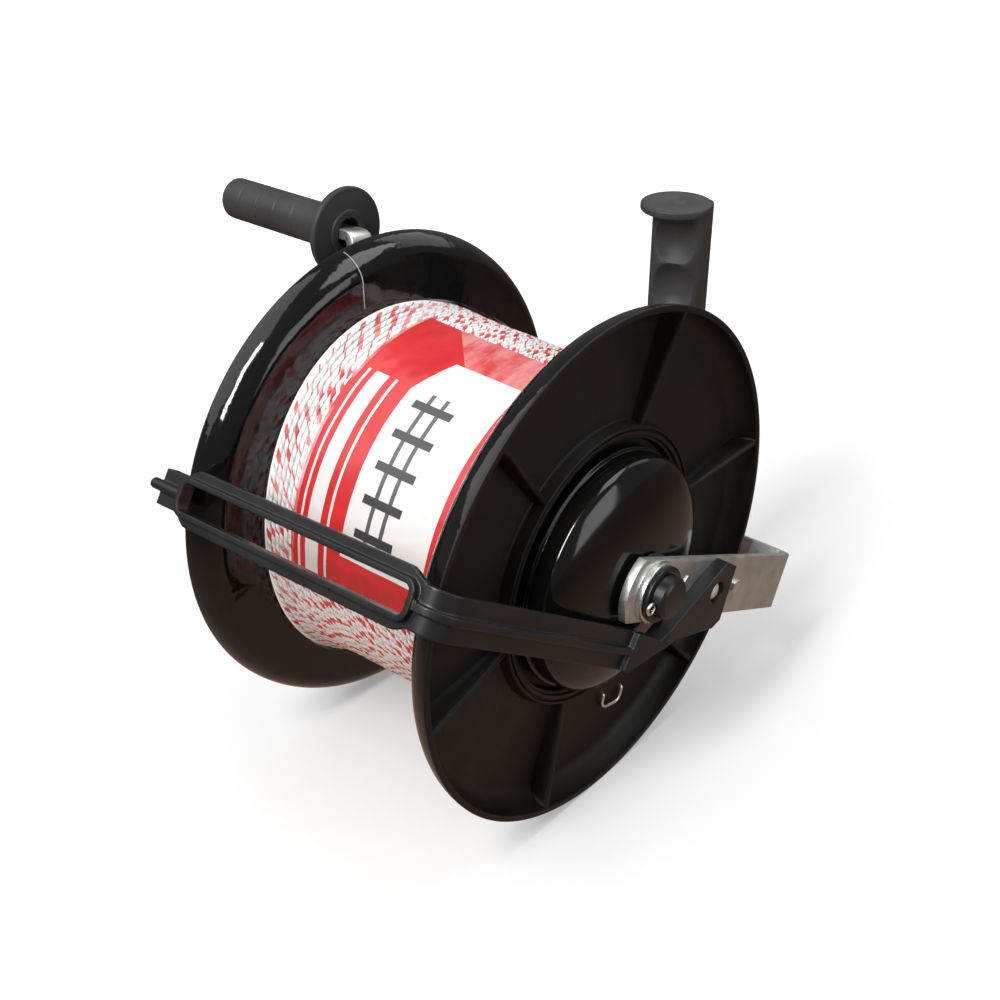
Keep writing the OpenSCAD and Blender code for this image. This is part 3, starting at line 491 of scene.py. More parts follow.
def dome_points(wall):
    """Outline of the dome's face at one depth into its wall, from its side to its bore."""
    rise = DOME_TOP - DOME_SIDE - wall
    points = []
    for k in range(DOME_STEPS + 1):
        angle = QUARTER * k / DOME_STEPS
        radius = (DOME_R - wall) * math.cos(angle)
        if radius > DOME_BORE_R:
            points.append((radius, DOME_SIDE + rise * math.sin(angle)))
    ratio = DOME_BORE_R / (DOME_R - wall)
    points.append((DOME_BORE_R, DOME_SIDE + rise * math.sqrt(1 - ratio * ratio)))
    return points


def dome(name, side):
    corners = [
        (DOME_R - DOME_WALL, DISC_OUT),
        (DOME_FOOT_R, DISC_OUT),
        (DOME_FOOT_R, DISC_OUT + BEAD_H - BEAD_FALL, BEAD_ROUND),
        (DOME_R, DISC_OUT + BEAD_H, BEAD_INNER_ROUND),
    ]
    corners += dome_points(0)
    corners += reversed(dome_points(DOME_WALL))
    verts, faces = turned(rounded(corners), side)
    obj = add_piece(name + "_cap", verts, faces, "drum", [dome_gloss])
    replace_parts(face_out(obj), name)


dome("near_dome", 1)
dome("far_dome", -1)

# Polywire: an outer layer of one twisted strand wound in tight loops, over plain under-layers

WIRE_D = 2.7
WIRE_LOOPS = 44
WIRE_LAY = 11
RINGS_PER_LAY = 7
WIRE_SIDES = 8
WIRE_VALLEY_SHARE = 0.88
WIRE_END_GAP = 0.3
WIRE_SPAN = 2 * (DISC_IN - WIRE_D / 2 - WIRE_END_GAP)
WIRE_START = math.pi / 4
WIRE_SINK = 0.2
# The winding is fuller at the far flange, and climbs up it in waves
WIND_TAPER = 0.034
CLIMB = 4.2
CLIMB_WAVE = 2.8
CLIMB_WAVES = 3
CLIMB_TURN = math.radians(115)
CLIMB_REACH = 10
# Sideways swing of neighbouring loops together: waves in a turn, phase, height
WIRE_SWAY = 3.2
SWAY_WAVES = ((2, 0.6, 1), (3, 2.1, 0.7), (5, 0, 0.4))
# Small uneven drift, lift and twist along the wire, and the dive of its ends under the layer
WIRE_DRIFT = 0.2
DRIFT_FADE = 8
WIRE_LIFT = 0.16
WIRE_TWIST = 2.4
END_DIVE = 6
END_DIVE_ANGLE = 18
# Strands round the wire (0 white, 1 red, 2 steel whose light grey also paints shade lines), where red is full
# and where it is sparse
FULL_RED = [1, 1, 0, 0, 2, 0, 0, 1]
SPARSE_RED = [1, 0, 0, 0, 2, 0, 0, 0]
UNDER_STEPS = 96
UNDER_ROWS_PER_LOOP = 6
UNDER_BORE_GAP = 0.1
UNDER_END_GAP = 0.4
UNDER_DEPTH_SHARE = 0.75
UNDER_RIPPLE = 0.5


def wave_sum(count, low, high, seed):
    """A smooth random wave of about unit height, repeatable."""
    rng = random.Random(seed)
    terms = [(rng.uniform(low, high), rng.uniform(0, FULL_TURN)) for _ in range(count)]
    return lambda t: sum(math.sin(f * t + p) for f, p in terms) / math.sqrt(count)


wire_drift = wave_sum(6, 0.4, 3.1, seed=11)
wire_lift = wave_sum(6, 0.7, 4.3, seed=23)
wire_twist = wave_sum(7, 0.8, 5.2, seed=37)
wire_patch = wave_sum(6, 2.3, 11.7, seed=53)


def winding_r(x, angle):
    """Outer radius of the winding."""
    climb = CLIMB + CLIMB_WAVE * math.cos(CLIMB_WAVES * (angle - CLIMB_TURN))
    return WINDING_R - WIND_TAPER * x + climb * math.exp(-(x + DISC_IN) / CLIMB_REACH)


def wire_sway(x, turn):
    """How far a loop swings sideways, none at the flanges."""
    room = 1 - (2 * x / WIRE_SPAN) ** 2
    return WIRE_SWAY * room * sum(high * math.sin(count * turn + phase) for count, phase, high in SWAY_WAVES)


def polywire():
    loop_length = FULL_TURN * WINDING_R
    rings = int(WIRE_LOOPS * loop_length / WIRE_LAY * RINGS_PER_LAY)
    radius = WIRE_D / 2
    section = [
        (FULL_TURN * k / WIRE_SIDES, radius * (WIRE_VALLEY_SHARE if k % 2 else 1)) for k in range(WIRE_SIDES)
    ]
    verts = []
    for i in range(rings + 1):
        share = i / rings
        turn = FULL_TURN * WIRE_LOOPS * share - WIRE_START
        x = -WIRE_SPAN / 2 + WIRE_SPAN * share
        x += wire_sway(x, turn) + WIRE_DRIFT * wire_drift(turn) * (1 - abs(2 * share - 1) ** DRIFT_FADE)
        edge = min(share, 1 - share) * WIRE_LOOPS * 360
        dive = END_DIVE * max(0, 1 - edge / END_DIVE_ANGLE) ** 2
        path = winding_r(x, turn) - radius + WIRE_LIFT * wire_lift(turn) - WIRE_SINK - dive
        twist = FULL_TURN * i / RINGS_PER_LAY + WIRE_TWIST * wire_twist(turn)
        for angle, reach in section:
            a = angle + twist
            r = path + reach * math.cos(a)
            verts.append((x + reach * math.sin(a), r * math.cos(turn), r * math.sin(turn)))
    faces = grid_faces(rings + 1, WIRE_SIDES)
    indices = []
    for i in range(rings):
        indices += FULL_RED if wire_patch(FULL_TURN * WIRE_LOOPS * i / rings) > 0 else SPARSE_RED
    caps = end_caps(len(verts), WIRE_SIDES)
    indices += [0] * len(caps)
    strands = [wire_white, wire_red, wire_steel_and_shade]
    obj = add_piece("wound_polywire", verts, faces + caps, "drum", strands, indices, sharp=0)
    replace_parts(face_out(obj), "polywire_winding")


def under_layer():
    pitch = WIRE_SPAN / WIRE_LOOPS
    count = WIRE_LOOPS * UNDER_ROWS_PER_LOOP
    bore = BARREL_R + UNDER_BORE_GAP
    start = -DISC_IN + UNDER_END_GAP
    span = 2 * DISC_IN - 2 * UNDER_END_GAP
    rows = [(bore, start)]
    rows += [(None, start + span * k / count) for k in range(count + 1)]
    rows.append((bore, DISC_IN - UNDER_END_GAP))
    verts = []
    for radius, x in rows:
        ripple = UNDER_RIPPLE * abs(math.sin(math.pi * x / pitch))
        for k in range(UNDER_STEPS):
            angle = FULL_TURN * k / UNDER_STEPS
            r = radius or winding_r(x, angle) - UNDER_DEPTH_SHARE * WIRE_D + ripple
            verts.append((x, r * math.cos(angle), r * math.sin(angle)))
    faces = grid_faces(len(rows), UNDER_STEPS, close_rows=True)
    obj = add_piece("wire_under_layers", verts, faces, "drum", [wire_white])
    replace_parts(face_out(obj), "polywire_core")


polywire()
under_layer()

# Label: a printed paper band round the front of the winding, under the film

LABEL_LIFT = 0.6
LABEL_FAR = -41.5
LABEL_NEAR_GAP = 2.4
LABEL_NEAR = DISC_IN - LABEL_NEAR_GAP
LABEL_TOP = 87
LABEL_TURN = 96
LABEL_ROWS = 120
LABEL_COLUMNS = 120
# Creases of the paper: pitch along the axle, pitch down the label, seed, height
LABEL_CREASE = 0.28
LABEL_CREASES = ((0.06, 9, 3.1, 1), (0.2, 30, 7.7, 0.5))
LABEL_RED = (0.66, 0.03, 0.035)
LABEL_ROUGH = 0.32
LABEL_COAT = 0.35
LABEL_COAT_ROUGH = 0.12
FOLD_SCALE = 26
FOLD_STRETCH = (1.6, 0.5, 0.5)
FOLD_STRENGTH = 0.35
FOLD_DEPTH = 0.0016

# Print on the label, as shares of its width (u, from the far edge) and of its length (v, from the top end)

STRIPES = ((0.045, 0.058), (0.09, 0.17), (0.21, 0.225))
STRIPE_TOP = 0.3
STRIPE_END = 0.97
PANEL_LEFT = 0.31
PANEL_RIGHT = 0.79
PANEL_TOP = 0.165
PANEL_END = 0.86
PANEL_CUT_FROM = 0.4
PANEL_CUT_SLOPE = 1.6
# Painted glare: a pale pink patch at the label's top end, right of a slanted edge, stands in for light off
# the film over the red
GLARE_LEFT = 0.2
GLARE_SLOPE = 1.5
GLARE_SCALE = 95
GLARE_STRETCH = (1.0, 0.35, 0.35)
GLARE_PATCHES = [(0.36, (0.12, 0.12, 0.12)), (0.62, (0.95, 0.95, 0.95))]
RAILS = (0.435, 0.515)
RAIL_W = 0.022
RAIL_TOP = 0.3
RAIL_END = 0.83
POSTS = (0.335, 0.44, 0.545, 0.65, 0.755)
POST_W = 0.027
POST_FOOT = 0.375
POST_HEAD = 0.6
OUTSIDE = 0.1
RED_SCALE = 60
RED_TONES = [(NOISE_LOW, (0.5, 0.014, 0.018)), (NOISE_HIGH, (0.6, 0.026, 0.03))]
PAINTED_GLARE_PINK = (0.66, 0.26, 0.255)
STRIPE_INK = (0.68, 0.665, 0.65)
PANEL_INK = (0.68, 0.675, 0.67)
RAIL_INK = (0.09, 0.09, 0.095)
POST_INK = (0.045, 0.045, 0.05)
# Colour sockets of a mix node, by number
MIX_BASE = 6
MIX_INK = 7
MIX_RESULT = 2


def print_material():
    """Generic print: a red ground with pale stripes, and a pale panel with a plain fence drawn on it, with a
    pink patch of painted glare on the red at the top end.
    """
    material, shader = new_material("label print", LABEL_RED, LABEL_ROUGH)
    shader.inputs["Coat Weight"].default_value = LABEL_COAT
    shader.inputs["Coat Roughness"].default_value = LABEL_COAT_ROUGH
    uv = add_node(material, "ShaderNodeUVMap", uv_map="print")
    parts = add_node(material, "ShaderNodeSeparateXYZ")
    link(material, uv.outputs["UV"], parts.inputs["Vector"])
    u, v = parts.outputs["X"], parts.outputs["Y"]

    def calc(operation, a, b):
        node = add_node(material, "ShaderNodeMath", operation=operation)
        for socket, value in zip(node.inputs, (a, b)):
            if isinstance(value, (int, float)):
                socket.default_value = value
            else:
                link(material, value, socket)
        return node.outputs[0]

    def within(value, low, high):
        return calc("MULTIPLY", calc("GREATER_THAN", value, low), calc("LESS_THAN", value, high))

    def area(left, right, top, bottom):
        return calc("MULTIPLY", within(u, left, right), within(v, top, bottom))

    def over(base, mask, ink):
        node = add_node(material, "ShaderNodeMix", data_type="RGBA")
        link(material, mask, node.inputs[0])
        link(material, base, node.inputs[MIX_BASE])
        node.inputs[MIX_INK].default_value = (*ink, 1)
        return node.outputs[MIX_RESULT]

    colour = ramp(material, noise_at(material, RED_SCALE, 4), RED_TONES)
    # Painted glare: the red is lightened to pink in noisy patches at the top end of the label
    edge = calc("ADD", calc("MULTIPLY", v, GLARE_SLOPE), GLARE_LEFT)
    glare_area = calc("MULTIPLY", calc("GREATER_THAN", u, edge), within(v, -OUTSIDE, PANEL_TOP))
    haze = ramp(material, noise_at(material, GLARE_SCALE, 4, GLARE_STRETCH, 0.8), GLARE_PATCHES)
    colour = over(colour, calc("MULTIPLY", glare_area, haze), PAINTED_GLARE_PINK)
    for left, right in STRIPES:
        colour = over(colour, area(left, right, STRIPE_TOP, STRIPE_END), STRIPE_INK)
    cut = calc("MULTIPLY", calc("MAXIMUM", calc("SUBTRACT", PANEL_CUT_FROM, u), 0.0), PANEL_CUT_SLOPE)
    below_cut = calc("GREATER_THAN", v, calc("ADD", cut, PANEL_TOP))
    panel = calc("MULTIPLY", area(PANEL_LEFT, PANEL_RIGHT, PANEL_TOP, PANEL_END), below_cut)
    colour = over(colour, panel, PANEL_INK)
    for rail in RAILS:
        colour = over(colour, area(rail, rail + RAIL_W, RAIL_TOP, RAIL_END), RAIL_INK)
    for post in POSTS:
        colour = over(colour, area(POST_FOOT, POST_HEAD, post, post + POST_W), POST_INK)
    link(material, colour, shader.inputs["Base Color"])
    grain(material, shader, noise_at(material, FOLD_SCALE, 4, FOLD_STRETCH, 0.6), FOLD_STRENGTH, FOLD_DEPTH)
    return material


label_print = print_material()


def label():
    verts, uvs = [], []
    for i in range(LABEL_ROWS + 1):
        v = i / LABEL_ROWS
        angle = math.radians(LABEL_TOP + LABEL_TURN * v)
        for j in range(LABEL_COLUMNS + 1):
            u = j / LABEL_COLUMNS
            x = LABEL_FAR + (LABEL_NEAR - LABEL_FAR) * u
            crease = sum(
                high * noise.noise(Vector((x * along, v * down, seed)))
                for along, down, seed, high in LABEL_CREASES
            )
            radius = winding_r(x, angle) + LABEL_LIFT + LABEL_CREASE * crease
            verts.append((x, radius * math.cos(angle), radius * math.sin(angle)))
            uvs.append((u, v))
    faces = grid_faces(LABEL_ROWS + 1, LABEL_COLUMNS + 1, close_columns=False)
    obj = add_piece("printed_label", verts, faces, "drum", [label_print], sharp=0, uvs=uvs)
    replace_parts(obj, "label_wrap")


label()

# Clear shrink film over the winding and up the inner faces of the flanges, with a seam on the far one

FILM_LIFT = 1.3
FILM_GAP = 0.5
FILM_STEPS = 180
FILM_ROWS = 40
FILM_DISC_ROWS = 9
FILM_LIP_ROWS = 10
FILM_END_GAP = 5
FILM_FOOT_ROOM = 3
FILM_WRINKLE = 0.28
FILM_DISC_WRINKLE = 0.22
# Wrinkles of the film, broad and fine: how closely they follow along the axle, round it and outwards
BROAD_ALONG = 0.05
BROAD_ROUND = 5.0
FINE_ALONG = 0.11
FINE_ROUND = 13.0
FINE_SHIFT = 9
FINE_OUT = 0.08
FINE_HEIGHT = 0.6
SEAM_TOP = 98.9
SEAM_FOOT = 101.4
SEAM_R = 0.18
SEAM_STAND = 0.4
SEAM_SIDES = 6
HAZE_LAP = 2
HAZE_END = LABEL_FAR + HAZE_LAP
HAZE_SCALE = 55
HAZE_STRETCH = (1.4, 0.6, 0.6)
HAZE_STRENGTH = 0.5
HAZE_DEPTH = 0.002
EDGE_SCALE = 90


def film_material(name, start, full, alpha):
    """Clear film, seen only as a haze where its wrinkles stand off what it covers."""
    material, shader = new_material(name, (0.95, 0.95, 0.95), 0.16)
    wrinkles = noise_at(material, HAZE_SCALE, 5, HAZE_STRETCH, 0.62)
    haze = ramp(material, wrinkles, [(start, (0, 0, 0)), (full, (alpha, alpha, alpha))])
    link(material, haze, shader.inputs["Alpha"])
    grain(material, shader, wrinkles, HAZE_STRENGTH, HAZE_DEPTH)
    return material


clear_film = film_material("clear film", 0.62, 0.8, 0.008)
hazy_film = film_material("hazy film", 0.43, 0.66, 0.42)
film_edge, edge_shader = new_material("film edge", (0.85, 0.85, 0.84), 0.2)
link(film_edge, spread(film_edge, noise_at(film_edge, EDGE_SCALE), (0.25, 0.6)), edge_shader.inputs["Alpha"])


def film_side():
    """Radius and station of the film on one flange, from its rim to the winding."""
    lip = [lip_point(0, k / FILM_LIP_ROWS) for k in range(FILM_LIP_ROWS - 1, -1, -1)]
    points = [(radius, station - FILM_GAP) for radius, station in lip]
    foot = WINDING_R + FILM_LIFT + CLIMB + CLIMB_WAVE + FILM_FOOT_ROOM
    for k in range(1, FILM_DISC_ROWS + 1):
        points.append((LIP_START + (foot - LIP_START) * k / FILM_DISC_ROWS, DISC_IN - FILM_GAP))
    return points


def film_wrinkle(x, radius, angle):
    """How far the film stands up in a wrinkle."""
    ring = Vector((math.cos(angle), math.sin(angle), 0))
    broad = noise.noise(Vector((x * BROAD_ALONG, 0, 0)) + ring * BROAD_ROUND)
    fine = noise.noise(Vector((x * FINE_ALONG + FINE_SHIFT, 0, radius * FINE_OUT)) + ring * FINE_ROUND)
    return broad + FINE_HEIGHT * fine


def film():
    side = film_side()
    span = DISC_IN - FILM_END_GAP
    profile = [(radius, -station) for radius, station in side]
    profile += [(None, -span + 2 * span * k / FILM_ROWS) for k in range(FILM_ROWS + 1)]
    profile += reversed(side)
    verts = []
    for radius, x in profile:
        for k in range(FILM_STEPS):
            angle = FULL_TURN * k / FILM_STEPS
            wrinkle = film_wrinkle(x, radius or WINDING_R, angle)
            if radius is None:
                r, shift = winding_r(x, angle) + FILM_LIFT + FILM_WRINKLE * wrinkle, 0
            else:
                r, shift = radius, -math.copysign(FILM_DISC_WRINKLE * (1 + wrinkle), x)
            verts.append((x + shift, r * math.cos(angle), r * math.sin(angle)))
    sheet = (verts, grid_faces(len(profile), FILM_STEPS))
    line = []
    for i, (radius, station) in enumerate(side):
        angle = math.radians(SEAM_TOP + (SEAM_FOOT - SEAM_TOP) * i / (len(side) - 1))
        line.append((-station + SEAM_STAND, radius * math.cos(angle), radius * math.sin(angle)))
    verts, faces = joined(sheet, tube(line, SEAM_R, SEAM_SIDES))
    hazy = [radius is None and x < HAZE_END for radius, x in profile]
    indices = [1 if hazy[i // FILM_STEPS] else 0 for i in range(len(sheet[1]))]
    indices += [2] * (len(faces) - len(indices))
    films = [clear_film, hazy_film, film_edge]
    obj = add_piece("shrink_film", verts, faces, "drum", films, indices, sharp=0)


film()

# Carrying grip: a lofted hand grip with finger scoops under a round end disc

FRAME_TILT = math.radians(25.5)
POST_U = 136
POST_BEND_V = 19
POST_LEAN = math.radians(40.5)
POST_RISE = 49
GRIP_X = 23.5
GRIP_U = POST_U - POST_RISE * math.sin(POST_LEAN)
GRIP_V = POST_BEND_V + POST_RISE * math.cos(POST_LEAN)
GRIP_LEAN = math.radians(0.5)
GRIP_TURN = math.radians(20)
GRIP_BOTTOM = 6
GRIP_TOP = 130
GRIP_W = 27
GRIP_D = 30
GRIP_CORNER = 9
GRIP_CORNER_STEPS = 12
GRIP_SIDE_STEP = 1.3
GRIP_EDGE = 1.6
GRIP_EDGE_STEPS = 5
GRIP_LEVELS = 130
SCOOP_R = 18
SCOOP_Y = -27.5
SCOOPS = (114.5, 89.5, 64.5, 39.5)
SCOOP_EDGE = 0.9
SCOOP_OVERCUT = 0.02
GRIP_DISC_R = 17.5
GRIP_DISC_T = 4
GRIP_DISC_LAP = 1
GRIP_DISC_SHIFT = -5
GRIP_DISC_SIDE = -2.5
GRIP_DISC_EDGE = 1.2
GRIP_DISC_STEPS = 96
# Ring mark on the disc: radius and depth of its outline
DISC_MARK = ((5.2, 0), (4.8, 0.25), (4.2, 0.25), (3.8, 0))


def grip_place(x, y, z):
    """A point of the grip, given along its own axes, in the axle's frame."""
    x, y = (
        x * math.cos(GRIP_TURN) - y * math.sin(GRIP_TURN),
        x * math.sin(GRIP_TURN) + y * math.cos(GRIP_TURN),
    )
    base_y = GRIP_U * math.cos(FRAME_TILT) + GRIP_V * math.sin(FRAME_TILT)
    base_z = -GRIP_U * math.sin(FRAME_TILT) + GRIP_V * math.cos(FRAME_TILT)
    return (
        GRIP_X + x,
        base_y + y * math.cos(GRIP_LEAN) - z * math.sin(GRIP_LEAN),
        base_z + y * math.sin(GRIP_LEAN) + z * math.cos(GRIP_LEAN),
    )


def soft_max(a, b, reach):
    """The larger of two numbers, with a rounded change from one to the other."""
    share = min(max(0.5 + 0.5 * (a - b) / reach, 0), 1)
    return b + (a - b) * share + reach * share * (1 - share)


def scoop_front(x, z):
    """How far back the finger scoops cut the grip's front, or None beside them."""
    room = max(SCOOP_R * SCOOP_R - x * x - (z - centre) ** 2 for centre in SCOOPS)
    return SCOOP_Y + math.sqrt(room) if room > 0 else None


def grip_section():
    """Outline of the grip's section, in short steps."""
    w, d = GRIP_W / 2, GRIP_D / 2
    corners = [(x, y, GRIP_CORNER) for x, y in ((-w, -d), (w, -d), (w, d), (-w, d))]
    points = rounded(corners, GRIP_CORNER_STEPS)
    outline = []
    for i, (x, y) in enumerate(points):
        nx, ny = points[(i + 1) % len(points)]
        outline.append((x, y))
        extra = int(math.hypot(nx - x, ny - y) / GRIP_SIDE_STEP)
        for k in range(1, extra):
            outline.append((x + (nx - x) * k / extra, y + (ny - y) * k / extra))
    return outline


def grip_body():
    base = grip_section()
    quarter = [QUARTER * k / GRIP_EDGE_STEPS for k in range(GRIP_EDGE_STEPS + 1)]
    levels = [(GRIP_BOTTOM + GRIP_EDGE * (1 - math.cos(a)), GRIP_EDGE * (1 - math.sin(a))) for a in quarter]
    height = GRIP_TOP - GRIP_DISC_T + GRIP_DISC_LAP - GRIP_BOTTOM - GRIP_EDGE
    levels += [(GRIP_BOTTOM + GRIP_EDGE + height * k / GRIP_LEVELS, 0) for k in range(1, GRIP_LEVELS + 1)]
    verts = []
    for z, inset in levels:
        for x, y in base:
            px = x * (1 - inset / (GRIP_W / 2))
            py = y * (1 - inset / (GRIP_D / 2))
            front = scoop_front(px, z)
            if front is not None and py < 0:
                py = soft_max(py, front, SCOOP_EDGE) - SCOOP_OVERCUT
            verts.append(grip_place(px, py, z))
    return verts, grid_faces(len(levels), len(base)) + end_caps(len(verts), len(base))


def grip_disc():
    quarter = [QUARTER * k / GRIP_EDGE_STEPS for k in range(GRIP_EDGE_STEPS + 1)]
    edge, inner, foot = GRIP_DISC_EDGE, GRIP_DISC_R - GRIP_DISC_EDGE, GRIP_TOP - GRIP_DISC_T
    outline = [(POLE_R, foot)]
    outline += [(inner + edge * math.sin(a), foot + edge - edge * math.cos(a)) for a in quarter]
    outline += [(inner + edge * math.cos(a), GRIP_TOP - edge + edge * math.sin(a)) for a in quarter]
    outline += [(radius, GRIP_TOP - depth) for radius, depth in DISC_MARK]
    outline.append((POLE_R, GRIP_TOP))
    verts = []
    for radius, z in outline:
        for k in range(GRIP_DISC_STEPS):
            a = FULL_TURN * k / GRIP_DISC_STEPS
            x, y = GRIP_DISC_SIDE + radius * math.cos(a), GRIP_DISC_SHIFT + radius * math.sin(a)
            verts.append(grip_place(x, y, z))
    return verts, grid_faces(len(outline), GRIP_DISC_STEPS) + end_caps(len(verts), GRIP_DISC_STEPS)


def carry_grip():
    verts, faces = joined(grip_body(), grip_disc())
    obj = add_piece("carry_grip_moulding", verts, faces, "frame", [grip_black])
    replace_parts(face_out(obj), "carry_grip")


carry_grip()

# Crank grip: a turned sleeve with a round guard and fine rings

CRANK_Y = frame["joints"][1]["pos_m"][1] / MM
CRANK_Z = frame["joints"][1]["pos_m"][2] / MM - AXLE_Z
grip_low, grip_high = box_mm("crank_grip")
CRANK_END = -grip_low[0]
CRANK_START = -grip_high[0]
CRANK_STEPS = 72
CRANK_GRIP_R = 11
CRANK_BORE_R = 6.55
GUARD_R = (grip_high[2] - grip_low[2]) / 2
GUARD_T = 4
GUARD_BOSS_R = 11.5
GUARD_BOSS_H = 1
GUARD_IN = CRANK_START + GUARD_BOSS_H
SHOULDER_R = 7.73
SHOULDER_DEPTH = 5
CLIP_ROOM_R = 7.45
CLIP_ROOM_DEPTH = 9.7
END_ROUND = 2
BORE_ROUND = 0.3
# Corner radii of the guard, from its bore to the grip
GUARD_ROUNDS = (0.4, 0.6, 0.8, 1.2, 1.4, 2)
RING_SHARES = (0.36, 0.52, 0.68, 0.84)
RING_DEPTH = 0.3
# Half widths of a ring's mouth and floor, with their corner radii
RING_MOUTH = (0.9, 0.4)
RING_FLOOR = (0.3, 0.3)


def crank_grip():
    guard = [
        (SHOULDER_R, CRANK_START), (GUARD_BOSS_R, CRANK_START), (GUARD_BOSS_R, GUARD_IN),
        (GUARD_R, GUARD_IN), (GUARD_R, GUARD_IN + GUARD_T), (CRANK_GRIP_R, GUARD_IN + GUARD_T),
    ]
    corners = [(*corner, radius) for corner, radius in zip(guard, GUARD_ROUNDS)]
    mouth, mouth_round = RING_MOUTH
    floor_half, floor_round = RING_FLOOR
    floor_r = CRANK_GRIP_R - RING_DEPTH
    for share in RING_SHARES:
        x = GUARD_IN + share * (CRANK_END - GUARD_IN)
        corners += [
            (CRANK_GRIP_R, x - mouth, mouth_round), (floor_r, x - floor_half, floor_round),
            (floor_r, x + floor_half, floor_round), (CRANK_GRIP_R, x + mouth, mouth_round),
        ]
    corners += [
        (CRANK_GRIP_R, CRANK_END, END_ROUND),
        (CLIP_ROOM_R, CRANK_END, BORE_ROUND),
        (CLIP_ROOM_R, CRANK_END - CLIP_ROOM_DEPTH),
        (CRANK_BORE_R, CRANK_END - CLIP_ROOM_DEPTH),
        (CRANK_BORE_R, CRANK_START + SHOULDER_DEPTH),
        (SHOULDER_R, CRANK_START + SHOULDER_DEPTH),
    ]
    verts, faces = turned(rounded(corners), -1, CRANK_STEPS, (CRANK_Y, CRANK_Z))
    obj = add_piece("crank_grip_sleeve", verts, faces, "crank_handle", [grip_black])
    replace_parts(face_out(obj), "crank_grip")


crank_grip()

# Split pin: bent bright wire, its points given across the axle and up from its middle

pin_low, pin_high = box_mm("split_pin")
PIN_X = (pin_low[0] + pin_high[0]) / 2
PIN_WIRE_R = 0.76
PIN_HALF = 0.78
PIN_LONG_TAIL = [(15.4, 3.3), (14, 2.5), (12.4, 1.5), (11, 0.9), (10, PIN_HALF)]
PIN_SHORT_TAIL = [(10, -PIN_HALF), (11, -1.0), (12.2, -1.8), (13.6, -3), (14.6, -4)]
PIN_LEG_END = 8
PIN_LEG_STEP = 2
PIN_LEG_POINTS = 9
PIN_NECK = [(-9.6, PIN_HALF), (-10.4, 1.0)]
EYE_Y = -12.6
EYE_R = 2.4
EYE_FROM = 50
EYE_SWEEP = 260
EYE_STEPS = 18


def split_pin():
    leg = [(PIN_LEG_END - PIN_LEG_STEP * k, PIN_HALF) for k in range(PIN_LEG_POINTS)] + PIN_NECK
    route = PIN_LONG_TAIL + leg
    for k in range(EYE_STEPS + 1):
        angle = math.radians(EYE_FROM + EYE_SWEEP * k / EYE_STEPS)
        route.append((EYE_Y + EYE_R * math.cos(angle), EYE_R * math.sin(angle)))
    route += [(y, -z) for y, z in reversed(leg)] + PIN_SHORT_TAIL
    verts, faces = tube([(PIN_X, y, z) for y, z in route], PIN_WIRE_R)
    obj = add_piece("bent_split_pin", verts, faces, "drum", [zinc])
    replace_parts(face_out(obj), "split_pin")


split_pin()

# Contact clip: a U of bright wire on the near disc

CLIP_ANGLE = math.radians(-78)
CLIP_HANG = math.radians(-105)
CLIP_SPAN = 16
CLIP_R = (HUB_RING_OUT + LIP_START) / 2 - CLIP_SPAN / 4
CLIP_STAND = 2
CLIP_BEND = 4.5
CLIP_BEND_STEPS = 6
CLIP_REACH = CLIP_SPAN / 2
CLIP_WIRE_R = 0.9
CLIP_END_GAP = 0.4
# Turn of the wire from the hole to the disc's face: distance along the disc, drop from the wire's top
CLIP_KNEE = ((0, 0.8), (0.3, 0.2), (0.9, 0), (1.8, 0), (2.7, 0))


def contact_clip():
    """A U that hangs on the disc, its two ends through it."""
    half = CLIP_SPAN / 2
    top = DISC_OUT + CLIP_STAND
    leg = [(-half, 0, DISC_OUT - DISC_T + CLIP_END_GAP), (-half, 0, DISC_OUT)]
    leg += [(-half, out, top - drop) for out, drop in CLIP_KNEE]
    for k in range(1, CLIP_BEND_STEPS + 1):
        angle = QUARTER * k / CLIP_BEND_STEPS
        leg.append((
            -half + CLIP_BEND * (1 - math.cos(angle)),
            CLIP_REACH - CLIP_BEND * (1 - math.sin(angle)),
            top,
        ))
    points = leg + [(-across, out, x) for across, out, x in reversed(leg)]
    centre = Vector((0, math.cos(CLIP_ANGLE), math.sin(CLIP_ANGLE))) * CLIP_R
    down = Vector((0, math.cos(CLIP_HANG), math.sin(CLIP_HANG)))
    along = Vector((0, -math.sin(CLIP_HANG), math.cos(CLIP_HANG)))
    line = [centre + down * out + along * across + Vector((x, 0, 0)) for across, out, x in points]
    verts, faces = tube(line, CLIP_WIRE_R)
    obj = add_piece("bent_contact_clip", verts, faces, "drum", [zinc])
    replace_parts(face_out(obj), "contact_clip")


contact_clip()

# Guide bolt: a bright round head in the tab's hole

bolt_low, bolt_high = box_mm("guide_bolt")
BOLT_R = 3
BOLT_STEPS = 48
BOLT_END_ROUND = 0.4
BOLT_HEAD_GAP = 0.1
BOLT_HEAD_R = (bolt_high[1] - bolt_low[1]) / 2 - BOLT_HEAD_GAP
BOLT_HEAD_H = 3
BOLT_EDGE = 0.6
BOLT_EDGE_ROUND = 0.5
BOLT_CROWN = 1.8
BOLT_CROWN_INSET = 0.2
BOLT_CROWN_STEPS = 8


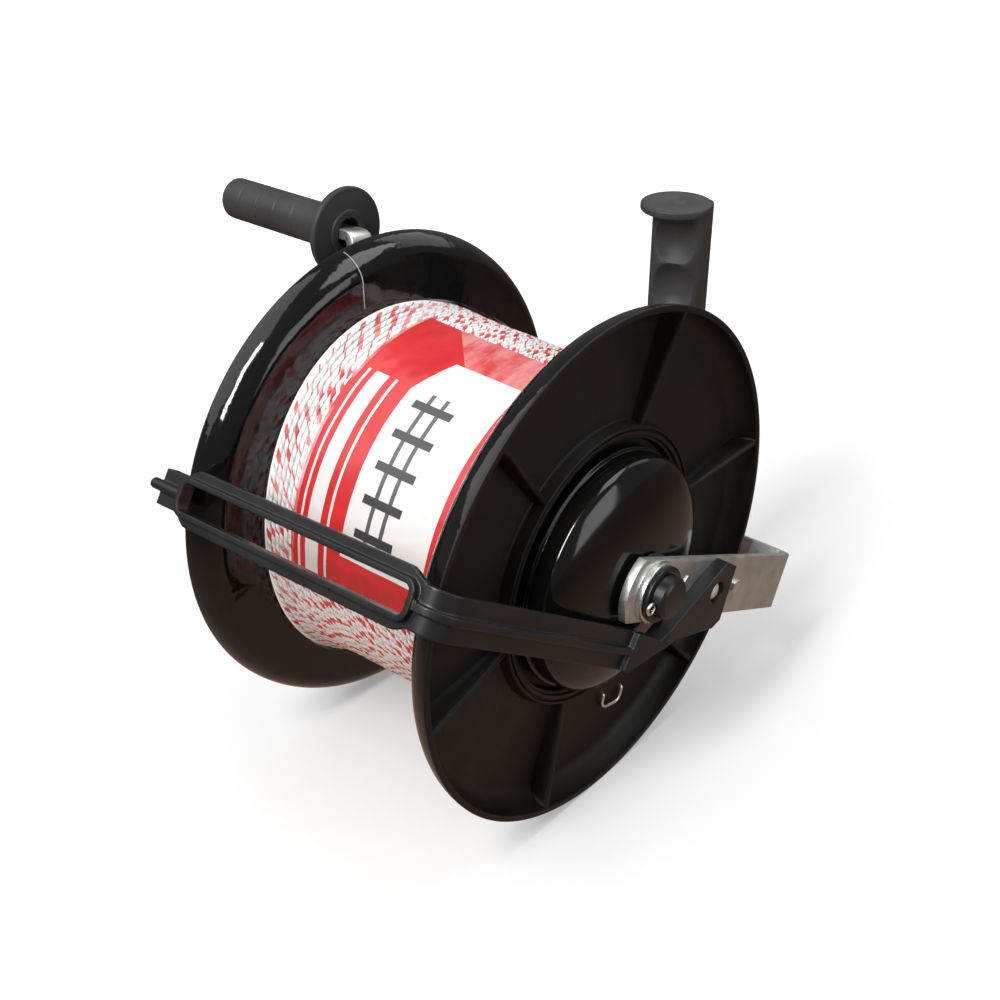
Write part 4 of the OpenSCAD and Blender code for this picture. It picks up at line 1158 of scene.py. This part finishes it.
def guide_bolt():
    seat = bolt_high[0] - BOLT_HEAD_H
    edge = bolt_high[0] - BOLT_EDGE
    corners = [
        (POLE_R, bolt_low[0]), (BOLT_R, bolt_low[0], BOLT_END_ROUND), (BOLT_R, seat), (BOLT_HEAD_R, seat),
        (BOLT_HEAD_R, edge, BOLT_EDGE_ROUND),
    ]
    for k in range(1, BOLT_CROWN_STEPS + 1):
        angle = QUARTER * k / BOLT_CROWN_STEPS
        corners.append((
            max(POLE_R, (BOLT_HEAD_R - BOLT_CROWN_INSET) * math.cos(angle)),
            edge + (BOLT_CROWN + BOLT_EDGE) * math.sin(angle),
        ))
    centre = ((bolt_low[1] + bolt_high[1]) / 2, (bolt_low[2] + bolt_high[2]) / 2 - AXLE_Z)
    verts, faces = turned(rounded(corners), 1, BOLT_STEPS, centre)
    obj = add_piece("guide_bolt_screw", verts, faces, "frame", [dull_zinc])
    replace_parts(face_out(obj), "guide_bolt")


guide_bolt()

# CAD nodes that stay: their edges are rounded by modifiers, and each gets its material

WELD_REACH = 0.00001
FLAT_ANGLE = math.radians(0.6)
BEVEL_ANGLE = math.radians(32)


def dress(node, material, edge, segments=2):
    """Gives a CAD node its material and rounds its edges, in millimetres."""
    obj = frame["nodes"][node]
    obj.data.materials.clear()
    obj.data.materials.append(material)
    obj.data.polygons.foreach_set("use_smooth", [True] * len(obj.data.polygons))
    weld = obj.modifiers.new("weld", "WELD")
    weld.merge_threshold = WELD_REACH
    if edge:
        flat = obj.modifiers.new("flat faces", "DECIMATE")
        flat.decimate_type = "DISSOLVE"
        flat.angle_limit = FLAT_ANGLE
        bevel = obj.modifiers.new("rounded edges", "BEVEL")
        bevel.width = edge * MM
        bevel.segments = segments
        bevel.limit_method = "ANGLE"
        bevel.angle_limit = BEVEL_ANGLE
        bevel.harden_normals = True
        bevel.use_clamp_overlap = True


def soften(node, material, voxel, passes, keep):
    """Gives a moulding an even skin with soft edges."""
    dress(node, material, 0)
    obj = frame["nodes"][node]
    skin = obj.modifiers.new("even skin", "REMESH")
    skin.mode = "VOXEL"
    skin.voxel_size = voxel * MM
    skin.use_smooth_shade = True
    edges = obj.modifiers.new("soft edges", "SMOOTH")
    edges.factor = 0.5
    edges.iterations = passes
    lighter = obj.modifiers.new("fewer faces", "DECIMATE")
    lighter.ratio = keep


dress("frame_bracket", galvanised, 0.6, 3)
soften("guide_arm", guide_black, voxel=0.35, passes=3, keep=0.3)
dress("crank_arm", galvanised, 0.5)
dress("grip_post", galvanised, 0.5)
for node in ("near_bush", "far_bush"):
    dress(node, bush_black, 0.3)
for node in (
    "near_thrust_washer", "far_thrust_washer", "guide_nut", "stop_bolt", "stop_nut",
    "crank_washer", "crank_nut",
):
    dress(node, zinc, 0.3)
for node in ("post_rivets", "carry_grip_screw", "drum_screws", "drive_pin", "grip_clip"):
    dress(node, zinc, 0.2)
for node in ("axle", "retaining_washer"):
    dress(node, black_steel, 0.3)
dress("grip_end_plug", grip_black, 0.3)
dress("barrel", flange_matte, 0)

# Floor: pale and white further off where it is seen, warm and dim where the part mirrors it

FLOOR_HALF = 9
FLOOR_SEEN = (0.56, 0.56, 0.56, 1)
FLOOR_BOUNCE = (0.46, 0.335, 0.265, 1)
FLOOR_MIRRORED = (0.36, 0.25, 0.195, 1)
# Glow by distance in metres from the part: (from, to) and (strength there, strength there)
SEEN_GLOW = ((0.35, 1.1), (0.3, 1.0))
MIRRORED_GLOW = ((0.2, 0.6), (0.95, 0.3))


def floor():
    mesh = bpy.data.meshes.new("floor")
    half = FLOOR_HALF
    corners = [(-half, -half, 0), (half, -half, 0), (half, half, 0), (-half, half, 0)]
    mesh.from_pydata(corners, [], [(0, 1, 2, 3)])
    material = bpy.data.materials.new("floor")
    material.use_nodes = True
    material.node_tree.nodes.clear()
    rays = add_node(material, "ShaderNodeLightPath")
    where = add_node(material, "ShaderNodeNewGeometry")
    away = add_node(material, "ShaderNodeVectorMath", operation="LENGTH")
    link(material, where.outputs["Position"], away.inputs[0])

    def mixed(factor, first, second):
        node = add_node(material, "ShaderNodeMixShader")
        for socket, source in zip(node.inputs, (factor, first, second)):
            link(material, source, socket)
        return node.outputs[0]

    seen = add_node(material, "ShaderNodeMath", operation="MAXIMUM")
    link(material, rays.outputs["Is Camera Ray"], seen.inputs[0])
    link(material, rays.outputs["Is Transmission Ray"], seen.inputs[1])
    level = add_node(material, "ShaderNodeMath", operation="MULTIPLY")
    link(material, seen.outputs[0], level.inputs[0])
    link(material, map_range(material, away.outputs["Value"], *SEEN_GLOW), level.inputs[1])
    glow = add_node(material, "ShaderNodeEmission", Color=(1, 1, 1, 1))
    link(material, level.outputs[0], glow.inputs["Strength"])
    pale = add_node(material, "ShaderNodeBsdfDiffuse", Color=FLOOR_SEEN)
    total = add_node(material, "ShaderNodeAddShader")
    link(material, pale.outputs[0], total.inputs[0])
    link(material, glow.outputs[0], total.inputs[1])
    mirrored = add_node(material, "ShaderNodeEmission", Color=FLOOR_MIRRORED)
    link(material, map_range(material, away.outputs["Value"], *MIRRORED_GLOW), mirrored.inputs["Strength"])
    bounce = add_node(material, "ShaderNodeBsdfDiffuse", Color=FLOOR_BOUNCE)
    unseen = mixed(rays.outputs["Is Glossy Ray"], bounce.outputs[0], mirrored.outputs[0])
    out = add_node(material, "ShaderNodeOutputMaterial")
    link(material, mixed(seen.outputs[0], unseen, total.outputs[0]), out.inputs["Surface"])
    mesh.materials.append(material)
    obj = bpy.data.objects.new("floor", mesh)
    bpy.context.scene.collection.objects.link(obj)


floor()

# Light: a strip window and soft lamps, with places and sizes in metres and power in watts


def lamp(name, place, target, size, power):
    data = bpy.data.lights.new(name, "AREA")
    data.shape = "RECTANGLE"
    data.size, data.size_y = size
    data.energy = power
    obj = bpy.data.objects.new(name, data)
    obj.location = place
    obj.rotation_euler = (Vector(target) - Vector(place)).to_track_quat("-Z", "Y").to_euler()
    bpy.context.scene.collection.objects.link(obj)


lamp("window", (0.1, -1.25, 1.45), (0, 0, 0.14), size=(0.28, 1.0), power=32)
lamp("key", (-1.0, -0.9, 1.8), (0, 0, 0.12), size=(2.4, 2.4), power=26)
lamp("fill", (1.35, 0.3, 0.6), (0, 0, 0.12), size=(0.9, 0.9), power=6)
lamp("top", (0.3, 0.7, 1.6), (0, 0, 0.12), size=(1.2, 0.8), power=9)
lamp("back", (-0.2, 1.35, 1.05), (0, 0, 0.12), size=(1.4, 0.7), power=2.5)

# World: a dim room, white where the camera sees it

world = bpy.data.worlds.new("studio")
world.use_nodes = True
room = world.node_tree.nodes["Background"]
room.inputs["Color"].default_value = (0.16, 0.16, 0.16, 1)
room.inputs["Strength"].default_value = 1.0
backdrop = add_node(world, "ShaderNodeBackground", Color=(1, 1, 1, 1), Strength=1.0)
rays = add_node(world, "ShaderNodeLightPath")
either = add_node(world, "ShaderNodeMixShader")
link(world, rays.outputs["Is Camera Ray"], either.inputs[0])
link(world, room.outputs[0], either.inputs[1])
link(world, backdrop.outputs[0], either.inputs[2])
link(world, either.outputs[0], world.node_tree.nodes["World Output"].inputs["Surface"])
bpy.context.scene.world = world
bpy.context.scene.view_settings.view_transform = "Standard"

# Camera: the view fitted to the rims of the two flanges in the photograph

camera_data = bpy.data.cameras.new("camera")
camera_data.sensor_width = 36
camera_data.lens = 45
camera = bpy.data.objects.new("camera", camera_data)
right = Vector((0.75451, 0.65629, -0.00096))
up = Vector((-0.33578, 0.38729, 0.85864))
back = Vector((0.56388, -0.64753, 0.51258))
turn = Matrix((right, up, back)).transposed().to_4x4()
camera.matrix_world = Matrix.Translation((0.34778, -0.39203, 0.32191 + AXLE_Z * MM)) @ turn
bpy.context.scene.collection.objects.link(camera)
bpy.context.scene.camera = camera
